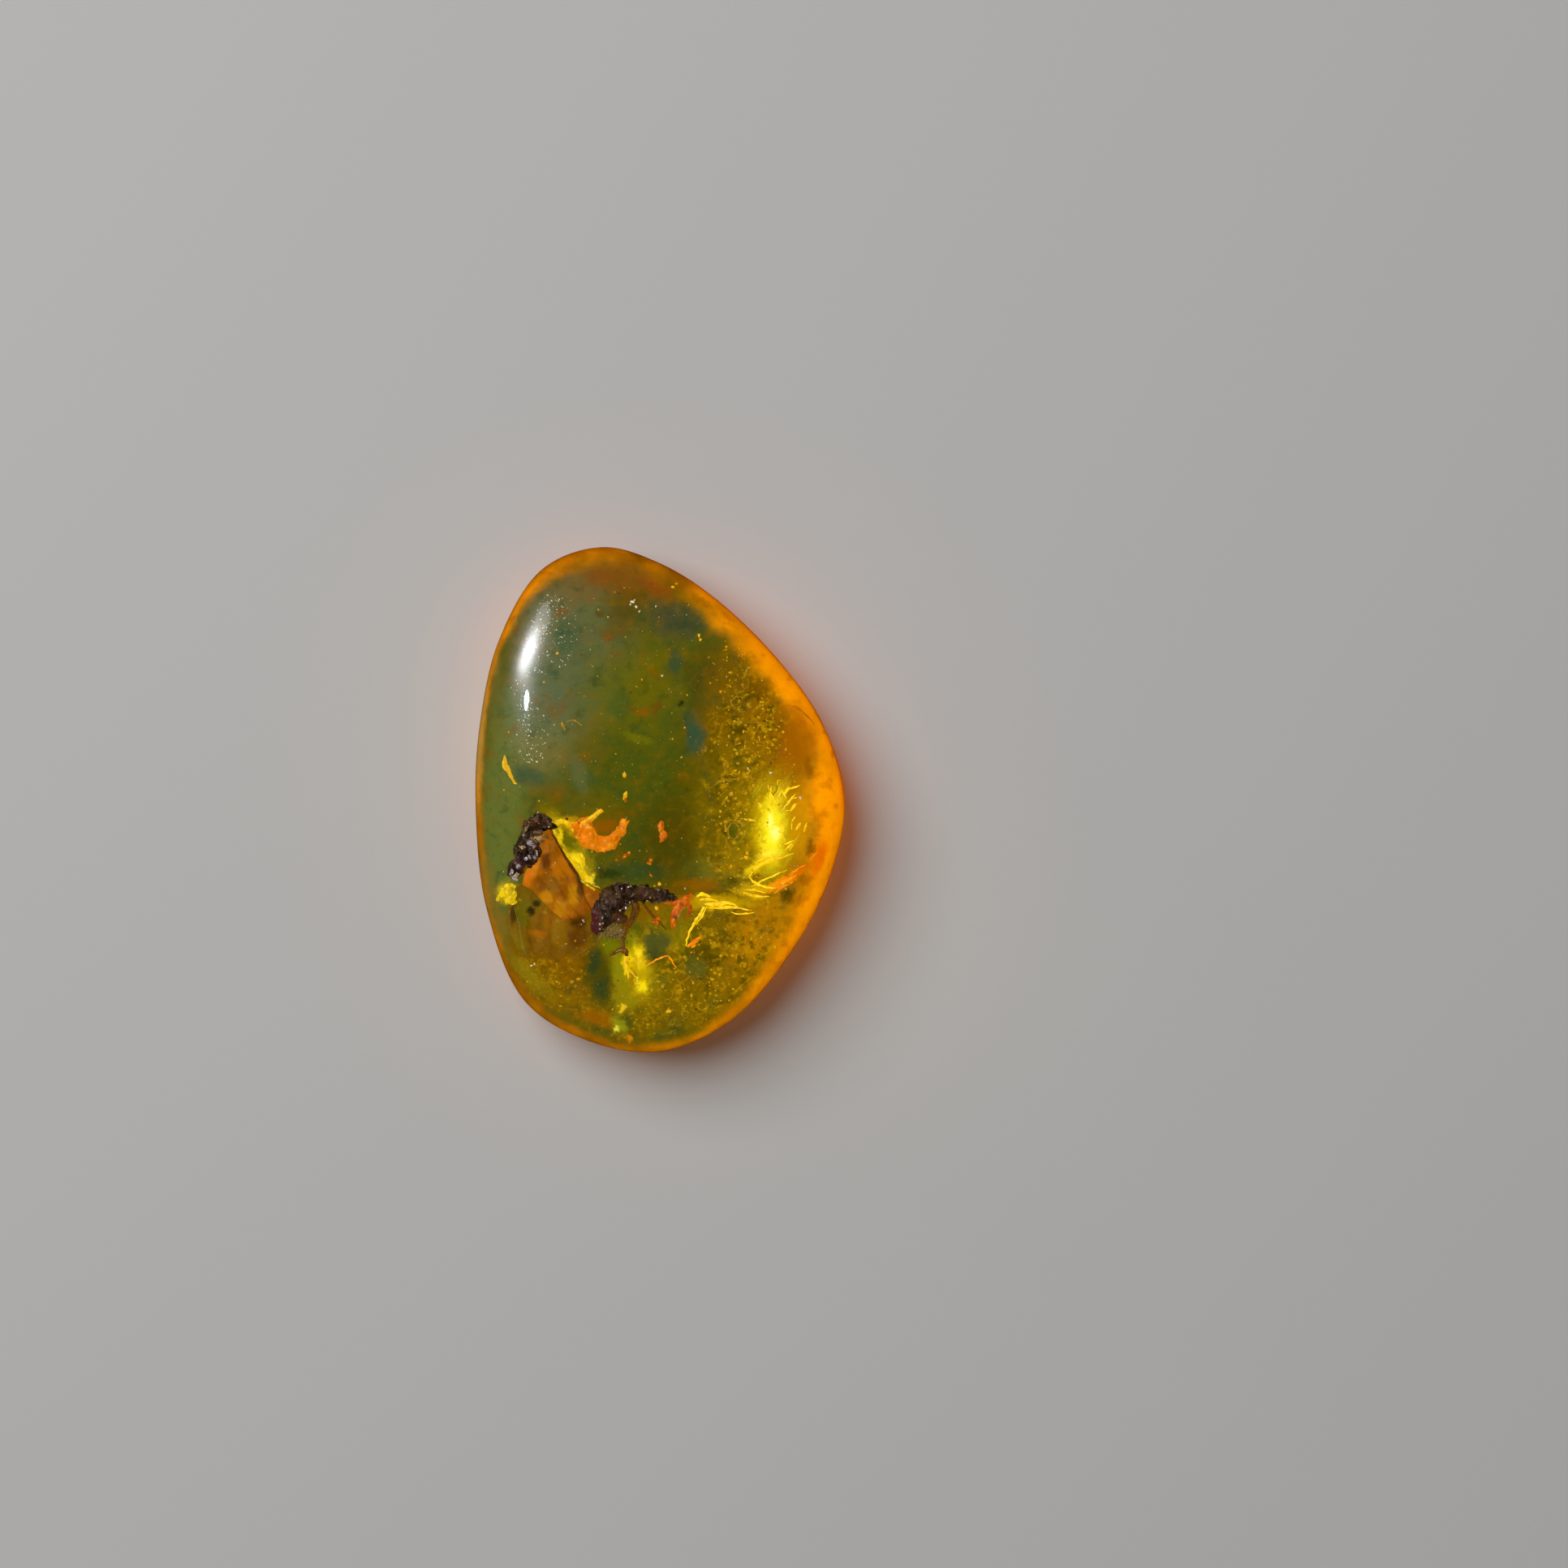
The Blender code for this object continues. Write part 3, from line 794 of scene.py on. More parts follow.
def cloud_finish():
    cloud = Finish("cloudy_amber", Roughness=0.6, Specular_IOR_Level=0.0)
    wobbly = cloud.wobbly(2.0 * MM, 1000.0, 6.0, 0.7)
    ragged = cloud.wobbly(1.1 * MM, 2000.0, 6.0, 0.72)
    base = cloud.noise(300.0, 5.0, 0.62).ramp(0.36, 0.64)
    colour = cloud.mix(base, paint(74, 92, 32), paint(112, 98, 14))
    colour = patched(cloud, colour, BROAD_PATCHES, 0.6, wobbly)
    tint = cloud.noise(700.0, 6.0, 0.7, cloud.wobbly(1.0 * MM, 900.0))
    colour = cloud.mix(tint.ramp(0.52, 0.7) * 0.55, colour, paint(126, 82, 14))
    colour = cloud.mix(tint.ramp(0.48, 0.3) * 0.55, colour, paint(60, 88, 42))
    field = 0.0
    for spot, size, turn, strength in GOLD_NET:
        field = (patch(cloud, spot, size, turn, 0.6, wobbly) * strength).most(field)
    darker_spots = cloud.noise(1500.0, 5.0, 0.65).ramp(0.52, 0.38)
    colour = cloud.mix(darker_spots * field * 0.85, colour, paint(84, 74, 8))
    # Bright flecks and bubbles over the golden fields: painted glints of light
    glint_flecks = cloud.noise(2100.0, 5.0, 0.7).ramp(0.53, 0.64)
    colour = cloud.mix(glint_flecks * field * 0.9, colour, paint(206, 158, 16))
    bubbles = cloud.cells(3400.0, "F1", cloud.wobbly(0.3 * MM, 2500.0)).ramp(0.36, 0.14)
    bubbles = bubbles * cloud.noise(900.0, 3.0).ramp(0.48, 0.58)
    colour = cloud.mix(bubbles * field * 0.9, colour, paint(230, 184, 30))
    walls = cloud.cells(1300.0, "DISTANCE_TO_EDGE", cloud.wobbly(0.5 * MM, 1500.0)).ramp(0.1, 0.02)
    walls = walls * cloud.noise(700.0, 4.0).ramp(0.5, 0.6)
    colour = cloud.mix(walls * field * 0.4, colour, paint(206, 160, 22))
    colour = patched(cloud, colour, SMALL_PATCHES, 0.5, ragged)
    grain = cloud.noise(1400.0, 6.0, 0.7)
    colour = cloud.mix(grain.ramp(0.52, 0.8) * 0.4, colour, paint(150, 124, 22))
    colour = cloud.mix(grain.ramp(0.48, 0.25) * 0.4, colour, paint(44, 50, 14))
    small = cloud.noise(2600.0, 4.0, 0.65)
    colour = cloud.mix(small.ramp(0.54, 0.74) * 0.35, colour, paint(140, 104, 14))
    colour = cloud.mix(small.ramp(0.46, 0.26) * 0.35, colour, paint(54, 74, 26))
    # The orange rim: a painted glow of light through the edge, deepest red at the outermost edge. The
    # rim also emits all of its colour, through glow below.
    rim = (cloud.attribute("rim") + (cloud.noise(520.0, 5.0, 0.6) - 0.5) * 0.5).ramp(0.28, 0.66)
    light = cloud.attribute("rim_light") + (cloud.noise(600.0, 4.0) - 0.5) * 0.8
    orange = cloud.mix(light.ramp(0.0, 1.0), paint(116, 76, 10), paint(255, 154, 4))
    deep = cloud.attribute("rim").ramp(0.82, 0.97) * cloud.noise(400.0, 3.0).ramp(0.35, 0.6)
    orange = cloud.mix(deep * 0.85, orange, paint(234, 96, 4))
    smudges = cloud.noise(1100.0, 4.0).ramp(0.52, 0.68)
    orange = cloud.mix(smudges * 0.5, orange, paint(172, 92, 6))
    colour = cloud.mix(rim, colour, orange)
    colour = patched(cloud, colour, RIM_PATCHES, 0.6, ragged)
    glow = rim
    for shade, spot, size, turn, strength in GLOW_PATCHES:
        mask = patch(cloud, spot, size, turn, 0.7, ragged) * strength
        colour = cloud.mix(mask, colour, paint(*shade))
        glow = glow.most(mask)
    # Painted streaks of light fanning out from the glow, bright yellow ones and darker brown ones
    # between
    light_streaks = cloud.noise(1500.0, 4.0, 0.6, cloud.leaned(cloud.place, LIGHT_STREAK_TURN, 6.0))
    glow_fan = patch(cloud, *GLOW_FIELD, 0.0, 0.5, ragged)
    colour = cloud.mix(light_streaks.ramp(0.54, 0.7) * glow_fan * 0.7, colour, paint(255, 236, 50))
    colour = cloud.mix(light_streaks.ramp(0.46, 0.3) * glow_fan * 0.55, colour, paint(172, 124, 8))
    black = (0.0, 0.0, 0.0)
    cloud.feed("Base Color", cloud.mix(LIT_SHARE, black, colour))
    cloud.feed(
        "Emission Color", cloud.mix(glow * (1 - GLOW_SHARE) + GLOW_SHARE, black, colour)
    )
    cloud.feed("Emission Strength", 1.0)
    cloud.bump(grain, 0.12 * MM)
    return cloud


def flecked_finish(name, dark, middle, light, glow, scale=2600.0, roughness=0.4):
    """A finish of three shades in fine patches, with some light of its own."""
    flecked = Finish(name, Roughness=roughness)
    coarse = flecked.noise(scale, 5.0, 0.65)
    fine = flecked.noise(scale * 3.1, 4.0, 0.6)
    colour = flecked.mix(coarse.ramp(0.32, 0.55), paint(*dark), paint(*middle))
    colour = flecked.mix(fine.ramp(0.5, 0.72), colour, paint(*light))
    flecked.shine(colour, glow)
    flecked.bump(fine, 0.03 * MM)
    return flecked


CHITIN_PATCHES = (
    ((92, 24, 40), (733, 1142), (8, 18), 0, 0.9),
    ((96, 66, 42), (752, 1106), (8, 7), 0, 0.5),
    ((112, 70, 36), (764, 1132), (9, 8), 0, 0.6),
    ((96, 66, 48), (795, 1101), (20, 6), 0, 0.5),
    ((22, 12, 8), (826, 1103), (9, 5), 0, 0.8),
    ((96, 52, 30), (652, 1012), (12, 5), 0, 0.5),
    ((60, 30, 46), (640, 1066), (7, 10), 0, 0.7),
)


def chitin_finish():
    chitin = Finish("dark_chitin", Specular_IOR_Level=0.3, Coat_Weight=0.4, Coat_Roughness=0.2)
    grain = chitin.noise(3600.0, 5.0, 0.65)
    # Lighter purplish plates and pale wrinkle lines: painted sheen where light catches the chitin
    sheen_plates = chitin.noise(1700.0, 4.0, 0.6)
    colour = chitin.mix(grain.ramp(0.46, 0.74), paint(22, 11, 10), paint(84, 50, 36))
    colour = chitin.mix(sheen_plates.ramp(0.55, 0.65) * 0.6, colour, paint(126, 92, 86))
    sheen_wrinkles = chitin.cells(3600.0, "DISTANCE_TO_EDGE", chitin.wobbly(0.4 * MM, 3000.0))
    sheen_wrinkles = sheen_wrinkles.ramp(0.09, 0.0) * sheen_plates.ramp(0.42, 0.6)
    colour = chitin.mix(sheen_wrinkles * 0.7, colour, paint(176, 140, 128))
    wobbly = chitin.wobbly(0.35 * MM, 2200.0)
    colour = patched(chitin, colour, CHITIN_PATCHES, 0.5, wobbly, seen)
    chitin.shine(colour, 0.25)
    chitin.feed("Roughness", grain.ramp(0.3, 0.7) * 0.25 + 0.25)
    chitin.bump(grain + sheen_wrinkles, 0.06 * MM)
    return chitin


# The golden patches at (706, 1104) and (690, 1120) are painted highlights
FOREWING_PATCHES = (
    ((222, 122, 8), (651, 1080), (7, 13), 0, 0.9),
    ((216, 130, 8), (656, 1066), (6, 10), 0, 0.8),
    ((198, 118, 8), (690, 1064), (11, 22), 0, 0.7),
    ((96, 52, 8), (672, 1062), (6, 9), 0, 0.9),
    ((128, 78, 6), (682, 1048), (7, 10), 0, 0.6),
    ((206, 146, 16), (706, 1104), (7, 12), 0, 0.8),
    ((112, 82, 8), (676, 1092), (13, 13), 0, 0.6),
    ((196, 136, 12), (690, 1120), (6, 10), 0, 0.7),
    ((150, 84, 6), (719, 1120), (9, 10), 0, 0.8),
    ((120, 68, 6), (662, 1088), (8, 9), 0, 0.6),
    ((214, 146, 14), (672, 1106), (8, 7), 0, 0.6),
    ((132, 76, 6), (694, 1092), (6, 14), 0, 0.6),
    ((136, 78, 6), (736, 1108), (8, 10), 0, 0.8),
    ((92, 54, 6), (714, 1092), (3, 18), 0, 0.9),
    ((110, 64, 6), (712, 1134), (9, 6), 0, 0.8),
)
HINDWING_PATCHES = (
    ((118, 94, 10), (655, 1104), (20, 18), 0, 0.95),
    ((106, 104, 14), (644, 1124), (12, 16), 0, 0.8),
    ((36, 38, 12), (661, 1113), (5, 4), 0, 0.9),
    ((34, 34, 10), (655, 1123), (5, 4), 0, 0.95),
    ((74, 46, 6), (714, 1136), (9, 8), 0, 0.9),
    ((92, 52, 6), (712, 1156), (16, 12), 0, 0.7),
    ((176, 100, 8), (664, 1150), (9, 4), 0, 0.8),
    ((70, 52, 8), (633, 1124), (4, 14), 0, 0.9),
    ((126, 112, 12), (640, 1165), (12, 16), 0, 0.7),
    ((150, 112, 8), (690, 1150), (8, 16), 0, 0.6),
    ((166, 108, 8), (676, 1136), (7, 10), 0, 0.6),
)


def wing_finish(name, colour_dark, colour_light, patches, glow):
    wing = Finish(name, Roughness=0.45, Specular_IOR_Level=0.2)
    colour = wing.mix(
        wing.noise(1500.0, 5.0, 0.6).ramp(0.35, 0.65), paint(*colour_dark), paint(*colour_light)
    )
    colour = patched(wing, colour, patches, 0.5, wing.wobbly(0.5 * MM, 1800.0), seen)
    mottle = wing.noise(2600.0, 5.0, 0.65)
    colour = wing.mix(mottle.ramp(0.55, 0.75) * 0.35, colour, paint(214, 150, 20))
    colour = wing.mix(mottle.ramp(0.45, 0.25) * 0.35, colour, paint(80, 50, 6))
    colour = wing.mix(wing.attribute("vein") * 0.85, colour, paint(70, 36, 8))
    thin = wing.attribute("fade") + (wing.noise(900.0, 4.0) - 0.5) * 0.6
    wing.feed("Alpha", thin.ramp(0.95, 0.25))
    wing.shine(colour, glow)
    wing.bump(wing.noise(4200.0, 4.0), 0.03 * MM)
    return wing


AMBER = amber_finish()
CLOUD = cloud_finish()
CHITIN = chitin_finish()
FOREWING = wing_finish("forewing", (156, 92, 6), (184, 110, 8), FOREWING_PATCHES, 0.5)
HINDWING = wing_finish("hindwing", (120, 86, 8), (136, 98, 8), HINDWING_PATCHES, 0.5)
SUNLIT = flecked_finish("sunlit_crack", (206, 150, 4), (246, 206, 14), (255, 246, 90), 0.9)
FOLD = flecked_finish("sunlit_fold", (120, 108, 8), (226, 190, 12), (255, 242, 60), 0.75, 1700.0)
RUST = flecked_finish("rusty_crack", (176, 92, 6), (204, 112, 8), (226, 134, 12), 0.5)
# Pale tan: the dry parts of the winged insect, and the painted gleams of light on the legs
TAN = flecked_finish("tan_membrane_and_gleam", (120, 96, 66), (172, 148, 112), (236, 220, 190), 0.45, 3000.0)
# Gold bubbles, spangles and cell walls: real bubbles and fractures, their bright gold partly painted
# glints of light
GOLD = flecked_finish("gold_bubble", (150, 108, 4), (206, 158, 12), (244, 206, 60), 0.6)
CELL = flecked_finish("cell_wall", (120, 98, 8), (156, 124, 12), (214, 170, 26), 0.6)
ORANGE = flecked_finish("orange_bark", (136, 62, 6), (204, 102, 8), (240, 156, 16), 0.6, 1800.0)
REDLEG = flecked_finish("red_leg", (126, 46, 8), (200, 92, 8), (244, 156, 30), 0.6, 1700.0)
STRAW = flecked_finish("straw", (196, 128, 4), (236, 182, 12), (255, 226, 70), 0.65)
PALE = flecked_finish("pale_membrane_and_highlight", (84, 68, 30), (132, 110, 60), (180, 160, 108), 0.4)
PEARL = flecked_finish("air_film_reflection", (70, 56, 66), (146, 134, 150), (244, 242, 250), 0.5, 3000.0, 0.2)
SILVER = flecked_finish("painted_glint", (150, 146, 150), (214, 212, 214), (255, 255, 255), 0.6)
BROWN = flecked_finish("brown_debris", (60, 38, 8), (112, 72, 12), (156, 104, 20), 0.4)
DUN = flecked_finish("dun_ridge", (66, 46, 38), (104, 76, 64), (150, 118, 104), 0.2)
UMBER = flecked_finish("umber_edge", (56, 30, 8), (88, 48, 8), (128, 76, 12), 0.3, 1800.0)
BARK = flecked_finish("thin_bark", (150, 88, 8), (216, 122, 8), (250, 162, 20), 0.65, 1000.0)
FLAME = flecked_finish("flame_fold_and_light", (206, 104, 6), (244, 146, 10), (255, 186, 36), 0.85, 1400.0)
DUST = flecked_finish("dust", (140, 138, 104), (176, 172, 138), (226, 222, 196), 0.5)
GRAIN = flecked_finish("pale_grain_and_sparkle", (172, 168, 140), (208, 204, 178), (250, 248, 230), 0.7)

stone = finished("amber_stone", stone_form, AMBER, "amber", ("amber_upper", "amber_lower"))
core = finished("cloudy_core", core_form, CLOUD, "amber")
mark_rim(core)
mark_edge(stone)

# ---------------------------------------------------------------- parts of the insects

WINGED = ("insect_brown", "winged_insect")  # slot and node
WINGLESS = ("insect_black", "wingless_insect")
SKIN = ("insect_brown", "wingless_insect")
GLINT_TURN = 37.0  # degrees per frame unit across, so that no two glints lie alike


def tube(bm, spots, widths, lift=0.0, around=8, flat=1.0, steps=5):
    """A tube through spots, its widths in frame units along it, lift in mm above the bed."""
    line = spline([seen(u, v, BED + lift * MM) for u, v in spots], steps)
    return swept(bm, line, [width * UNIT / 2 for width in widths], around, flat)


def lump(bm, spot, half_sizes, lift=0.0, turn=0.0, rise=None):
    """A rounded lump at a spot: half sizes in frame units, lift and rise in mm."""
    a, b = (size * UNIT for size in half_sizes)
    centre = seen(*spot, BED + lift * MM)
    return blob(bm, centre, (a, b, rise * MM if rise else min(a, b)), math.radians(turn))


def insect_part(name, finish, insect, tubes=(), lumps=(), crumples=()):
    """A part of an insect: rows for tube() and lump(), and reach, size and seed of crumples."""
    bm = bmesh.new()
    verts = []
    for row in tubes:
        verts += tube(bm, *row)
    for row in lumps:
        verts += lump(bm, *row)
    for reach, size, seed in crumples:
        crumpled(verts, reach * MM, size * MM, seed)
    slot, node = insect
    return finished(name, bm, finish, slot, (node,))


def ridges(rows, ends, lift, flat=0.7):
    """Tubes that taper to the widths of their ends, each with one width between."""
    return [(spots, (ends[0], width, width, ends[1]), lift, 6, flat) for spots, width in rows]


def glints(rows, thickness, lift):
    """Lumps for painted highlights, small white specks of light, each turned its own way."""
    return [((u, v), (size * 0.8, size * thickness), lift, u * GLINT_TURN) for u, v, size in rows]


# ---------------------------------------------------------------- the winged insect

WINGED_TUBES = (
    (
        ((685, 1017), (677, 1018), (668, 1013), (659, 1012), (652, 1021), (644, 1035)),
        (4, 13, 17, 19, 17, 15, 10), 0.1, 18, 0.8, 8,
    ),
    (((664, 1014), (662, 1006), (661, 999)), (17, 9, 1), 0.2, 10),
    (((654, 1028), (664, 1026), (676, 1022)), (13, 12, 5), 0.0, 12),
    (((652, 1030), (656, 1042), (657, 1056), (653, 1069)), (12, 17, 18, 6), 0.0, 14),
    (((645, 1034), (642, 1047), (640, 1060)), (12, 18, 14), 0.0, 14),
    (((643, 1058), (636, 1069), (630, 1081)), (13, 20, 11), 0.0, 14),
)
WINGED_LUMPS = (
    ((671, 1016), (8, 5), 0.26, -10), ((656, 1016), (5, 7), 0.3, -30), ((650, 1030), (6, 6), 0.26),
    ((655, 1050), (7, 8), 0.26), ((640, 1051), (6, 7), 0.26), ((631, 1069), (5, 6), 0.22),
)
# The air that silvers the shrivelled head and thorax; its silver and white are painted reflection
PEARLS = (
    ((653, 1039), (4, 3.4), 0.38, -30), ((658, 1043), (2, 1.8), 0.36),
    ((655, 1056), (5, 2.8), 0.36, -15), ((661, 1052), (1.6, 3.4), 0.36, 10),
    ((648, 1058), (2.4, 2.2), 0.34), ((641, 1056), (1.6, 1.8), 0.34),
    ((633, 1082), (5, 2.6), 0.32, -35), ((630, 1074), (2.4, 4), 0.32, -20),
    ((638, 1068), (3, 4.2), 0.34, -20),
)
# The pale, dry parts of the thorax and the tail
TAN_PARTS = (
    ((642, 1045), (5, 2.6), 0.3, 20), ((636, 1078), (2.6, 6.4), 0.27, -22),
    ((639, 1070), (2, 3.4), 0.3, -30), ((662, 1033), (5, 2), 0.3, -10),
)
# Painted highlights: white specks where light catches the insect, and the white edge of the silvered
# tail: spots and sizes
WINGED_GLINTS = (
    (664, 1014, 1.3), (676, 1019, 1.1), (662, 1001, 1.2), (656, 1006, 0.8), (651, 1013, 0.8),
    (647, 1020, 0.8), (644, 1029, 0.8), (655, 1053, 1.0), (641, 1056, 1.2), (635, 1063, 0.9),
    (628, 1077, 1.2), (632, 1073, 0.8), (637, 1084, 1.2), (620, 1074, 0.7), (654, 1038, 1.4),
    (661, 1049, 1.2), (648, 1057, 1.3), (638, 1068, 0.8), (634, 1079, 1.2), (639, 1077, 0.8),
    (631, 1082, 1.0), (684, 1063, 0.9), (682, 1066, 0.8), (719, 1136, 0.9), (716, 1139, 0.8),
)
# Pale ridge lines and folds on the thorax; the first, down the body's left edge, is a painted
# highlight
WINGED_RIDGES_AND_HIGHLIGHT = (
    (((660, 1006), (655, 1013), (650, 1019), (646, 1027), (644, 1033)), 2.4),
    (((652, 1023), (656, 1021), (659, 1014), (661, 1008)), 1.6),
    (((656, 1025), (662, 1026), (667, 1026.5)), 2.8),
    (((667, 1028), (672, 1030), (677, 1034)), 3.0),
    (((663, 1036), (667, 1037), (671, 1036)), 2.8),
    (((655, 1028), (657, 1034), (662, 1039)), 1.8),
)
# The dark, thickened front edge of the wing
FOREWING_EDGE = (
    (680, 1024), (685, 1036), (692, 1048), (700, 1061), (708, 1073), (714, 1086), (719, 1100),
)
FOREWING_LEFT = (
    (658, 1030), (662, 1044), (662, 1054), (652, 1067), (645, 1080), (643, 1089), (656, 1097),
    (668, 1110), (682, 1124), (694, 1134), (704, 1142),
)
FOREWING_RIGHT = (
    (680, 1020), (682, 1028), (688, 1040), (696, 1054), (705, 1067), (712, 1079), (717, 1092),
    (722, 1106), (729, 1120), (733, 1131),
)
HINDWING_LEFT = (
    (648, 1082), (640, 1090), (634, 1100), (630, 1114), (628, 1130), (630, 1146), (636, 1162),
    (646, 1176), (656, 1184),
)
HINDWING_RIGHT = (
    (700, 1070), (712, 1086), (721, 1100), (729, 1116), (735, 1132), (736, 1146), (730, 1160),
    (716, 1172), (698, 1182),
)
FLAP_LEFT = ((714, 1090), (719, 1104), (724, 1116), (730, 1128))
FLAP_RIGHT = ((724, 1088), (738, 1096), (746, 1106), (743, 1122))
WING_THICKNESS = 0.08 * MM
VEIN_WIDTH = 0.016  # of the wing's width, as the next two
VEIN_WANDER = 0.06
BORDER_WIDTH = 0.05
VEIN_RELIEF = 0.02 * MM
FOREWING_VEINS = ((0.5, 0.2), (0.55, 0.5), (0.65, 0.8))
HINDWING_VEINS = ((0.4, 0.2), (0.5, 0.5), (0.6, 0.8))
FLAP_VEINS = ((0.5, 0.5),)


def wing_relief(veins, arch, base, fold, border, soft):
    """Lift, vein and fade of a wing: veins spread from the root towards the tip.

    It thins out over the soft shares of its length and of its width.
    """

    def relief(across, down):
        vein = 0.0
        for root, tip in veins:
            line = root + (tip - root) * math.sqrt(down)
            line += VEIN_WANDER * noise.noise(Vector((down * 4, fold, tip)))
            depth = 0.3 + 0.6 * noise.noise(Vector((down * 6, tip, fold)))
            vein = max(vein, depth * math.exp(-(((across - line) / VEIN_WIDTH) ** 2)))
        rim = (1 - across) / BORDER_WIDTH
        vein = max(vein, border * math.exp(-rim * rim))
        waves = noise.noise(Vector((across * 4, down * 5, fold))) * 0.5
        waves += noise.noise(Vector((across * 11, down * 14, fold))) * 0.15
        lift = base + arch * (math.sin(math.pi * across) + waves) + VEIN_RELIEF * vein
        fade = max(0.0, (down - 1) / soft[0] + 1, (across - 1) / soft[1] + 1)
        return lift, vein, fade

    return relief


def wing(name, finish, left, right, relief):
    bm = bmesh.new()
    edges = [[seen(u, v) for u, v in side] for side in (left, right)]
    verts = sheet(bm, *edges, relief, WING_THICKNESS)
    crumpled(verts, 0.06 * MM, 0.5 * MM, 3.0)
    slot, node = WINGED
    return finished(name, bm, finish, slot, (node,))


insect_part(
    "winged_insect_body", CHITIN, WINGED, WINGED_TUBES, WINGED_LUMPS,
    ((0.14, 0.3, 0.0), (0.09, 0.15, 6.0), (0.04, 0.08, 9.0)),
)
insect_part("winged_insect_pearls", PEARL, WINGED, (), PEARLS, ((0.05, 0.13, 3.0),))
insect_part("winged_insect_tan_parts", TAN, WINGED, (), TAN_PARTS, ((0.11, 0.12, 8.0),))
insect_part("winged_insect_glints", SILVER, WINGED, (), glints(WINGED_GLINTS, 0.6, 0.45))
insect_part(
    "winged_insect_ridges_and_highlight", PALE, WINGED, ridges(WINGED_RIDGES_AND_HIGHLIGHT, (0.6, 0.8), 0.4), (),
    ((0.02, 0.1, 0.0),),
)
insect_part(
    "forewing_edge", UMBER, WINGED,
    ((FOREWING_EDGE, (1, 2.6, 2.2, 2.8, 3.2, 3.6, 3, 1), 0.24, 8, 0.6),), (), ((0.05, 0.3, 0.0),),
)
wing(
    "forewing", FOREWING, FOREWING_LEFT, FOREWING_RIGHT,
    wing_relief(FOREWING_VEINS, 0.16 * MM, 0.12 * MM, 1.0, 0.9, (0.22, 0.01)),
)
wing(
    "hindwing", HINDWING, HINDWING_LEFT, HINDWING_RIGHT,
    wing_relief(HINDWING_VEINS, 0.1 * MM, -0.25 * MM, 5.0, 0.0, (0.3, 0.25)),
)
wing(
    "wing_flap", FOREWING, FLAP_LEFT, FLAP_RIGHT,
    wing_relief(FLAP_VEINS, 0.08 * MM, 0.0, 9.0, 0.6, (0.4, 0.1)),
)

# ---------------------------------------------------------------- the wingless insect

BACK = (
    (834, 1107), (824, 1105), (812, 1103), (800, 1102), (788, 1101), (777, 1101), (766, 1104),
    (757, 1109), (750, 1118), (743, 1129), (738, 1139), (733, 1150),
)
BACK_WIDTHS = (2, 11, 15, 16, 17, 19, 31, 36, 32, 27, 19, 6)
BACK_STEPS = 9
ABDOMEN_SHARE = 0.5  # of the back, from its tip, that has rings
RINGS_ALONG = 17.6  # as many as would fit the whole back
RING_DEPTH = 0.14
WINGLESS_LUMPS = (
    ((752, 1128), (11, 8), 0.3, 45), ((765, 1110), (11, 7), 0.36, 35), ((762, 1130), (8, 8), 0.2),
    ((758, 1118), (9, 5), 0.42, 50), ((772, 1100), (9, 6), 0.3, 15), ((786, 1101), (5, 8), 0.26),
    ((742, 1138), (5, 9), 0.24, -15),
)
# Pale brown edges of the segments and plates along the back
WINGLESS_RIDGES = (
    (((760, 1092), (768, 1088), (775, 1089), (778, 1095)), 2.2),
    (((784, 1094), (792, 1092), (799, 1095)), 2.0),
    (((806, 1097), (815, 1096), (822, 1100)), 2.0),
    (((758, 1103), (763, 1099), (769, 1098)), 2.4),
    (((745, 1125), (749, 1118), (755, 1113)), 2.6),
    (((776, 1104), (784, 1101), (790, 1102)), 2.2),
    (((775, 1114), (771, 1118), (763, 1122)), 2.6),
)
# Painted highlights: small white specks where light catches the ridges of the back
WINGLESS_GLINTS = (
    (752, 1118, 1.2), (746, 1126, 1.2), (742, 1131, 1.5), (739, 1139, 1.5), (739, 1145, 1.3),
    (776, 1112, 1.1), (771, 1119, 1.9), (764, 1122, 1.5), (766, 1095, 1.3), (774, 1093, 1.6),
    (777, 1092, 1.0), (763, 1107, 0.8), (801, 1106, 1.2), (797, 1110, 0.9), (811, 1097, 0.8),
    (762, 1133, 1.2), (765, 1146, 1.0), (718, 1134, 1.4), (844, 1095, 1.4), (808, 1119, 1.0),
)
THIN_LEGS = (
    (((770, 1132), (770, 1148), (768, 1160), (768, 1170)), (8, 5, 3, 4), 0.0, 10),
    (((779, 1108), (783, 1118), (780, 1130), (774, 1144)), (8, 10, 8, 3), 0.0, 10),
    (((792, 1112), (798, 1121), (807, 1131), (814, 1138), (821, 1146)), (4, 3, 3, 2.4, 1.4)),
    (((751, 1176), (757, 1174), (763, 1171), (770, 1172), (773, 1178)), (3, 4, 5, 8, 4)),
)
RED_LEGS = (
    (((818, 1113), (828, 1113), (838, 1110), (846, 1107)), (2, 3.4, 4, 6)),
    (
        ((848, 1106), (841, 1112), (834, 1121), (830, 1132), (829, 1144)),
        (8, 10, 10, 9, 7, 3), 0.1, 12,
    ),
    (((848, 1112), (850, 1120), (846, 1130)), (4, 5, 2)),
    (((846, 1104), (852, 1103), (853, 1110)), (3, 3, 1.5)),
)
# Pale lines where light runs along the thick leg and its neighbour
LEG_GLEAMS = (
    (((842, 1117), (838, 1126), (834, 1134)), 1.1),
    (((759, 1173), (765, 1170), (771, 1171)), 1.0),
)
SKIN_LUMP = ((753, 1147), (14, 8), -0.1, -10, 0.1)
SKIN_FOLDS = 26
SKIN_SEED = 11


